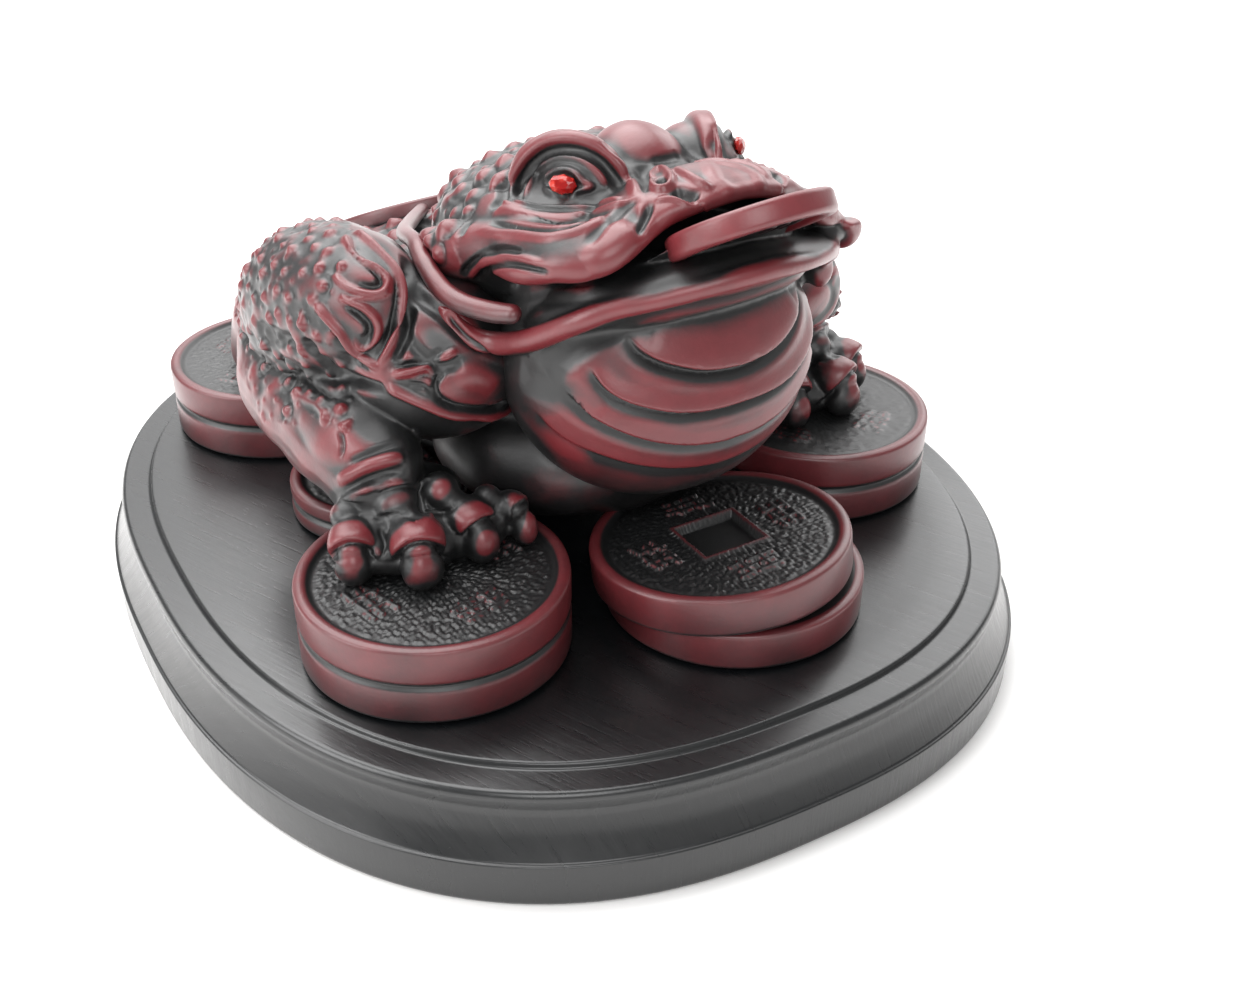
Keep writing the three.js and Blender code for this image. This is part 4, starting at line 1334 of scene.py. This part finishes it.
# %% [markdown]
# The coins lie in seven piles: a leaning pair before the chest, a pile under each hand, a small
# pile at each flank and a pile under each haunch. One more coin lies on the back.
# %% Coins in their places
PILES = [
    ("coins_right_hand", (-35, -3.4), COIN, {"hole_turn": 8, "seed": 40}),
    ("coins_left_hand", (35, 3.4), COIN, {"hole_turn": 28, "seed": 41, "fine": False, "relief": 0.5}),
    ("coins_right_haunch", (-25, 67), COIN, {"hole_turn": 30, "seed": 50, "relief": 0.5}),
    ("coins_left_haunch", (25, 67), COIN, {"hole_turn": 50, "seed": 51, "fine": False, "relief": 0.5}),
    ("coins_right_side", (-25.5, 31.4), SMALL_COIN, {"seed": 60, "fine": False}),
    ("coins_left_side", (25.5, 31.4), SMALL_COIN, {"seed": 61, "fine": False}),
]
CHEST_PLACE = (1.4, -16.5)
CHEST_SHIFT = (1.6, -0.5)

coins = []
for name, (cx, cy), size, options in PILES:
    coins.append(lay(coin_pile(name, size, **options), (cx, cy, 0)))
plain = {**COIN, "recess": 0.3}
lower = coin_pile("chest_coin_lower", plain, count=1, seed=70, fine=False, open_face=False)
cx, cy = CHEST_PLACE
coins.append(lay(lower, (cx + CHEST_SHIFT[0], cy + CHEST_SHIFT[1], 0)))
upper = coin_pile("chest_coin_upper", {**COIN, "hole": CHEST_HOLE}, count=1, seed=71)
coins.append(lay(upper, (cx, cy, COIN["thickness"] - PILE_GROOVE), lean=(-5.9, -3.3), turn=-8.6))
back_size = {**BACK_COIN, "rim": 2.4, "recess": 0.7, "hole": 5.0}
back_coin = coin_pile("coin_on_back", back_size, count=1, seed=72)
coins.append(lay(back_coin, (0, BACK_COIN["y"], BACK_COIN["z"]), lean=(-BACK_COIN["lean"], 0)))
print("coins:", {piece.name: len(piece.data.polygons) for piece in coins})

# %% [markdown]
# ## The coin in the mouth
# The loose coin has a rounded rim and a sunk face on both sides. It rests on the lower lip and
# tips up with the jaws, so the photograph shows it almost edge-on.
# %% Mouth coin
BITE = {"diameter": 20.0, "thickness": 2.9, "rim": 2.0, "recess": 0.7}
BITE_PLACE = (-0.6, -20.8, 54.1)
MOUTH_COIN_RINGS = (2.6, 4.2, 5.9)


def mouth_coin():
    """The loose coin, with rings on its sunk faces, set at the jaws' tilt"""
    r, t = BITE["diameter"] / 2, BITE["thickness"] / 2
    inner, face = r - BITE["rim"], t - BITE["recess"]
    half = [(0, face), (inner - 0.25, face), (inner, t), (r - 0.4, t), (r, t - 0.4)]
    half = [half[0]] + [(ring, face) for ring in np.arange(0.4, inner - 0.6, 0.34)] + half[1:]
    under = [(a, -b) for a, b in half]
    piece = spun("coin_in_mouth", rounded(under + half[::-1], 0.4, cuts=2), 140)
    points = points_of(piece)
    radius = np.hypot(points[:, 0], points[:, 1])
    amount = np.full(len(points), 0.2)
    sunk = radius < inner - 0.3
    lines = sum(ramp(np.abs(radius - at), 0.35, 0.1) for at in MOUTH_COIN_RINGS)[sunk]
    points[sunk, 2] += np.sign(points[sunk, 2]) * 0.3 * lines
    amount[sunk] = 0.85 - 0.2 * lines
    piece.data.vertices.foreach_set("co", points.ravel())
    store(piece, "wash_and_shade", amount)
    return lay(piece, BITE_PLACE, lean=(-BITE_TILT, 0))


bite = mouth_coin()
print("mouth coin:", len(bite.data.polygons), "faces")

# %% [markdown]
# ## Eyes
# The eyes are small cut stones of red glass, set into the ring of the socket. Each has a flat
# table, two rows of facets and a pointed back, and its facets stay sharp.
# %% Glass eyes
def gem(side):
    """A cut stone of eight sides, turned to where its eye looks"""
    r, h = 1.0, GEM["height"]
    rows = [(r, 0.0, 0), (r * 0.86, h * 0.22, 0.5), (r * 0.5, h * 0.4, 0)]
    points = [(0, 0, -h * 0.6)]
    for radius, height, shift in rows:
        for i in range(8):
            a = (i + shift) * math.pi / 4
            points.append((radius * math.cos(a), radius * math.sin(a), height))
    faces = [(0, 1 + (i + 1) % 8, 1 + i) for i in range(8)]
    for row in range(2):
        first, second = 1 + row * 8, 9 + row * 8
        for i in range(8):
            j, shift = (i + 1) % 8, row
            faces.append((first + i, first + j, second + (i + shift) % 8))
            faces.append((second + (i + shift) % 8, first + j, second + (i + 1 + shift) % 8))
    faces.append(tuple(17 + i for i in range(8)))
    mesh = bpy.data.meshes.new("eye_stone")
    mesh.from_pydata(points, [], faces)
    piece = bpy.data.objects.new("eye_stone_left" if side > 0 else "eye_stone_right", mesh)
    bpy.context.collection.objects.link(piece)
    size = Matrix.Diagonal((GEM["across"] / 2, GEM["tall"] / 2, 1, 1))
    turn = Vector(GEM_FACING[side]).to_track_quat("Z", "Y").to_matrix().to_4x4()
    x, y, z = GEM["place"]
    piece.data.transform(Matrix.Translation((side * x, y, z)) @ turn @ size)
    return piece


gems = [gem(1), gem(-1)]
print("eye stones:", [len(piece.data.polygons) for piece in gems])

# %% [markdown]
# ## Board
# The board is an oval with a raised field, a rounded rim, a cove and a lower band, cut on a
# shaper and lacquered black. Its rings are insets of one oval, so a lathe can't make it: the
# rings are laid out by the oval's formula and skinned.
# %% Board
BOARD = {"length": 147.0, "width": 127.0, "height": 15.8, "squareness": 2.44}
FIELD_INSET, FIELD_STEP, RIM_INSET, COVE, LEDGE, LOWER_BAND, SOFT = 6.8, 0.7, 2.3, 1.0, 0.9, 6.2, 0.5


def board_profile():
    """The board's edge from below to above, as (inset, height)"""
    top = BOARD["height"]
    rim_top = top - FIELD_STEP
    cove = rim_top - LOWER_BAND
    return [
        (8, 0), (0, 0), (0, LOWER_BAND), (LEDGE / 2, LOWER_BAND + 0.1),
        (LEDGE + COVE, LOWER_BAND + cove * 0.35), (RIM_INSET + COVE * 0.6, LOWER_BAND + cove * 0.65),
        (RIM_INSET, rim_top - SOFT * 1.6), (RIM_INSET + SOFT, rim_top),
        (FIELD_INSET - 0.2, rim_top - SOFT * 0.2), (FIELD_INSET, top), (12, top),
    ]


def board():
    """The board, skinned over insets of its oval"""
    profile = rounded(board_profile(), 0.7, cuts=4)
    steps = np.linspace(0, 2 * math.pi, 360, endpoint=False)
    power = 2 / BOARD["squareness"]
    ox = np.sign(np.cos(steps)) * np.abs(np.cos(steps)) ** power
    oy = np.sign(np.sin(steps)) * np.abs(np.sin(steps)) ** power
    rings = []
    for inset, z in profile:
        a, b = BOARD["width"] / 2 - inset, BOARD["length"] / 2 - inset
        rings.append(np.column_stack([ox * a, oy * b, np.full(len(steps), z)]))
    piece = skin_rings(np.array(rings), "lacquered_board")
    mend(piece)
    bpy.ops.object.shade_smooth_by_angle(angle=math.radians(40))
    return piece


board_piece = board()
print("board:", len(board_piece.data.polygons), "faces")

# %% [markdown]
# ## Materials
# One function turns a hex colour into Blender's linear values, and two add a node and fill its
# inputs. The patterns are sized in real millimetres on Object coordinates.
# %% Material tools
def colour(hex_value):
    """An sRGB hex colour as linear red, green, blue and alpha"""
    parts = [int(hex_value[i:i + 2], 16) / 255 for i in (1, 3, 5)]
    linear = [c / 12.92 if c <= 0.04045 else ((c + 0.055) / 1.055) ** 2.4 for c in parts]
    return (*linear, 1.0)


def wire(tree, made, **links):
    """Fills a node's inputs, named with _ for spaces, from output sockets or with plain values"""
    for key, value in links.items():
        socket = made.inputs[int(key[1:])] if key[1:].isdigit() else made.inputs[key.replace("_", " ")]
        if isinstance(value, bpy.types.NodeSocket):
            tree.links.new(value, socket)
        else:
            socket.default_value = value


def node(tree, kind, settings=None, **links):
    """Adds a node with its settings and fills its inputs"""
    made = tree.nodes.new(kind)
    for key, value in (settings or {}).items():
        setattr(made, key, value)
    wire(tree, made, **links)
    return made


def new_material(name):
    """A material with one principled surface, ready to be filled in"""
    material = bpy.data.materials.new(name)
    material.use_nodes = True
    tree = material.node_tree
    tree.nodes.clear()
    output = tree.nodes.new("ShaderNodeOutputMaterial")
    surface = tree.nodes.new("ShaderNodeBsdfPrincipled")
    tree.links.new(surface.outputs["BSDF"], output.inputs["Surface"])
    return material, tree, surface


def noise(tree, where, size_mm, detail=3.0, rough=0.55):
    """Noise whose lumps are about this wide, in millimetres"""
    return node(tree, "ShaderNodeTexNoise", Vector=where, Scale=1 / (size_mm * MM), Detail=detail,
                Roughness=rough).outputs["Fac"]


def band(tree, value, low, high):
    """0 below low, 1 above high, smooth between"""
    return node(tree, "ShaderNodeMapRange", {"interpolation_type": "SMOOTHSTEP"}, Value=value,
                From_Min=low, From_Max=high).outputs["Result"]


def maths(tree, operation, a, b):
    """One sum or product of two values"""
    return node(tree, "ShaderNodeMath", {"operation": operation}, _0=a, _1=b).outputs["Value"]


def mix(tree, amount, a, b):
    """Colour a where the amount is 0, colour b where it is 1"""
    made = node(tree, "ShaderNodeMix", {"data_type": "RGBA"}, Factor=amount)
    for socket, value in (("A", a), ("B", b)):
        target = [s for s in made.inputs if s.name == socket and s.type == "RGBA"][0]
        if isinstance(value, bpy.types.NodeSocket):
            tree.links.new(value, target)
        else:
            target.default_value = value
    return [s for s in made.outputs if s.type == "RGBA"][0]


print("colours, nodes and patterns can be made")

# %% [markdown]
# Polyester resin, dyed dark red, cast and rubbed: the dye gives a deep wine red, the surface is
# smooth and waxy with a soft shine, and the black wash on it is a little duller. Its index is
# about 1.5. The wash and the painted shade laid with it come from the attribute, broken up by
# noise so that the edge looks wiped.
# %% Red resin with black wash
RESIN_RED, RESIN_BRIGHT = "#5f1b20", "#78282e"
WASH_STARTS, WASH_COVERS = 0.22, 0.74
# The three dark tones show the black wash and also the painted shade in the same amount
WASH_AND_SHADE_THIN, WASH_AND_SHADE_BLACK, WASH_AND_SHADE_DEEP = "#2a2627", "#17181a", "#0d0e0f"


def resin():
    """Dark red resin with black wash and painted shade where the mesh's attribute says"""
    material, tree, surface = new_material("dark_red_resin_with_black_wash_and_painted_shade")
    where = node(tree, "ShaderNodeTexCoord").outputs["Object"]
    stored = node(tree, "ShaderNodeAttribute", {"attribute_name": "wash_and_shade"}).outputs["Fac"]
    patch = maths(tree, "MULTIPLY", maths(tree, "SUBTRACT", noise(tree, where, 5.0, 4.0), 0.5), 0.3)
    grain = maths(tree, "MULTIPLY", maths(tree, "SUBTRACT", noise(tree, where, 0.7, 3.0), 0.5), 0.15)
    amount = maths(tree, "ADD", maths(tree, "ADD", stored, patch), grain)
    cover = node(tree, "ShaderNodeMapRange", None, Value=amount, From_Min=WASH_STARTS,
                 From_Max=WASH_COVERS).outputs["Result"]
    deep = band(tree, amount, 0.6, 1.0)
    red = mix(tree, noise(tree, where, 3.0), colour(RESIN_RED), colour(RESIN_BRIGHT))
    grey = mix(tree, noise(tree, where, 1.6), colour(WASH_AND_SHADE_THIN), colour(WASH_AND_SHADE_BLACK))
    base = mix(tree, cover, red, mix(tree, deep, grey, colour(WASH_AND_SHADE_DEEP)))
    rough = node(tree, "ShaderNodeMapRange", None, Value=deep, To_Min=0.38, To_Max=0.5).outputs["Result"]
    dents = maths(tree, "MULTIPLY", noise(tree, where, 2.2), 0.8)
    height = maths(tree, "ADD", noise(tree, where, 0.5, 3.0), dents)
    bump = node(tree, "ShaderNodeBump", None, Height=height, Strength=0.35, Distance=0.00008)
    wire(tree, surface, Base_Color=base, Roughness=rough, IOR=1.5, Coat_Weight=0.6, Coat_Roughness=0.38,
         Normal=bump.outputs["Normal"])
    return material


resin_material = resin()
print("resin:", resin_material.name)

# %% [markdown]
# Black lacquer on wood: a satin film with fine brush marks that slant across the board, a little
# dust and a few worn spots. The lacquer's index is about 1.5.
# %% Black lacquer
LACQUER, LACQUER_WORN = "#0b0d0f", "#1b1817"


def lacquer():
    """Black lacquer with brush marks, dust and worn spots"""
    material, tree, surface = new_material("satin_black_lacquer_on_wood")
    where = node(tree, "ShaderNodeTexCoord").outputs["Object"]
    drawn = node(tree, "ShaderNodeMapping", {"vector_type": "TEXTURE"}, Vector=where, Scale=(1.0, 0.06, 1.0),
                 Rotation=(0, 0, math.radians(-65))).outputs["Vector"]
    marks = noise(tree, drawn, 9.0, 5.0, 0.7)
    dust = band(tree, noise(tree, where, 0.45, 2.0), 0.72, 0.8)
    worn = maths(tree, "MULTIPLY", band(tree, noise(tree, where, 9.0, 4.0), 0.62, 0.78), 0.5)
    base = mix(tree, worn, colour(LACQUER), colour(LACQUER_WORN))
    base = mix(tree, maths(tree, "MULTIPLY", dust, 0.08), base, colour("#9a9a98"))
    rough = node(tree, "ShaderNodeMapRange", None, Value=marks, To_Min=0.16, To_Max=0.46).outputs["Result"]
    bump = node(tree, "ShaderNodeBump", None, Height=marks, Strength=0.6, Distance=0.0001)
    wire(tree, surface, Base_Color=base, Roughness=rough, IOR=1.5, Coat_Weight=0.6, Coat_Roughness=0.25,
         Normal=bump.outputs["Normal"])
    return material


lacquer_material = lacquer()
print("lacquer:", lacquer_material.name)

# %% [markdown]
# Red soda glass, cut and polished: clear and bright with sharp facets. A foil behind such stones
# throws the light back, so it is only partly transparent here and keeps its own colour. Brighter
# patches in its colour are painted glints.
# %% Red glass
GLASS_RED, GLASS_PAINTED_GLINT = "#b81614", "#ff5a4c"


def glass():
    """Red glass with painted glints: brighter patches mixed into its colour"""
    material, tree, surface = new_material("cut_red_glass")
    where = node(tree, "ShaderNodeTexCoord").outputs["Object"]
    # Painted glints: noise mixes in a brighter red
    painted_glint = band(tree, noise(tree, where, 1.3), 0.4, 0.7)
    tone = mix(tree, painted_glint, colour(GLASS_RED), colour(GLASS_PAINTED_GLINT))
    wire(tree, surface, Base_Color=tone, Roughness=0.04, IOR=1.52, Transmission_Weight=0.4)
    return material


glass_material = glass()
print("glass:", glass_material.name)

# %% [markdown]
# ## Putting it together
# Each piece gets its material, goes into the object's frame and rides on the one body. The pieces
# of the casting together stand for its one solid.
# %% Dress and place the pieces
def dress(piece, material):
    """Gives a piece its material and slot, and lets it ride on the one body"""
    piece.data.materials.clear()
    piece.data.materials.append(material)
    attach(piece, "root")


casting = [head.piece, body.piece, arm.piece, arm_left] + cords + coins
for piece in casting:
    settle(piece)
    dress(piece, resin_material)
settle(bite)
dress(bite, resin_material)
for piece in gems:
    settle(piece)
    dress(piece, glass_material)
settle(board_piece, turned=False)
dress(board_piece, lacquer_material)
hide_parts("toad_casting")
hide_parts("mouth_coin")
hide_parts("eye_gem_left")
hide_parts("eye_gem_right")
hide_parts("plinth")
triangles = sum(len(p.vertices) - 2 for piece in casting for p in piece.data.polygons)
print("triangles in the casting:", triangles)

# %% [markdown]
# ## Floor and light
# The figure stands on a white sheet in soft studio light: wide lights overhead and behind, one at
# the left, and weaker ones in front and at the right. The floor isn't part of the object.
# %% Studio
LIGHTS = [
    ("top_light", (-0.05, 0.3, 0.7), 0.8, 9.0),
    ("left_light", (-0.7, 0.05, 0.4), 0.5, 4.0),
    ("right_light", (0.6, 0.2, 0.45), 0.5, 1.8),
    ("front_light", (-0.35, -0.75, 0.6), 0.5, 3.4),
    ("back_light", (0.45, 0.8, 0.45), 1.2, 4.5),
]
SKY_STRENGTH = 0.42


def soft_light(name, place, size, watts):
    """A square white light at a place and of a size in metres, aimed at the figure's middle"""
    bpy.ops.object.light_add(type="AREA", location=place)
    lamp = bpy.context.object
    lamp.name = name
    lamp.data.size = size
    lamp.data.energy = watts
    aim = Vector((0, 0, 0.03)) - Vector(place)
    lamp.rotation_euler = aim.to_track_quat("-Z", "Y").to_euler()


def floor():
    """A white sheet to stand on, which isn't part of the object"""
    bpy.ops.mesh.primitive_plane_add(size=6, location=(0, 0, 0))
    piece = bpy.context.object
    piece.name = "white_floor"
    material, tree, surface = new_material("white_paper")
    wire(tree, surface, Base_Color=colour("#fbfaf9"), Roughness=0.9)
    piece.data.materials.append(material)


floor()
for name, place, size, watts in LIGHTS:
    soft_light(name, place, size, watts)
world = bpy.data.worlds.new("soft_sky")
world.use_nodes = True
world.node_tree.nodes["Background"].inputs["Color"].default_value = colour("#ffffff")
world.node_tree.nodes["Background"].inputs["Strength"].default_value = SKY_STRENGTH
bpy.context.scene.world = world
bpy.context.scene.view_settings.view_transform = "Standard"
print("studio ready")
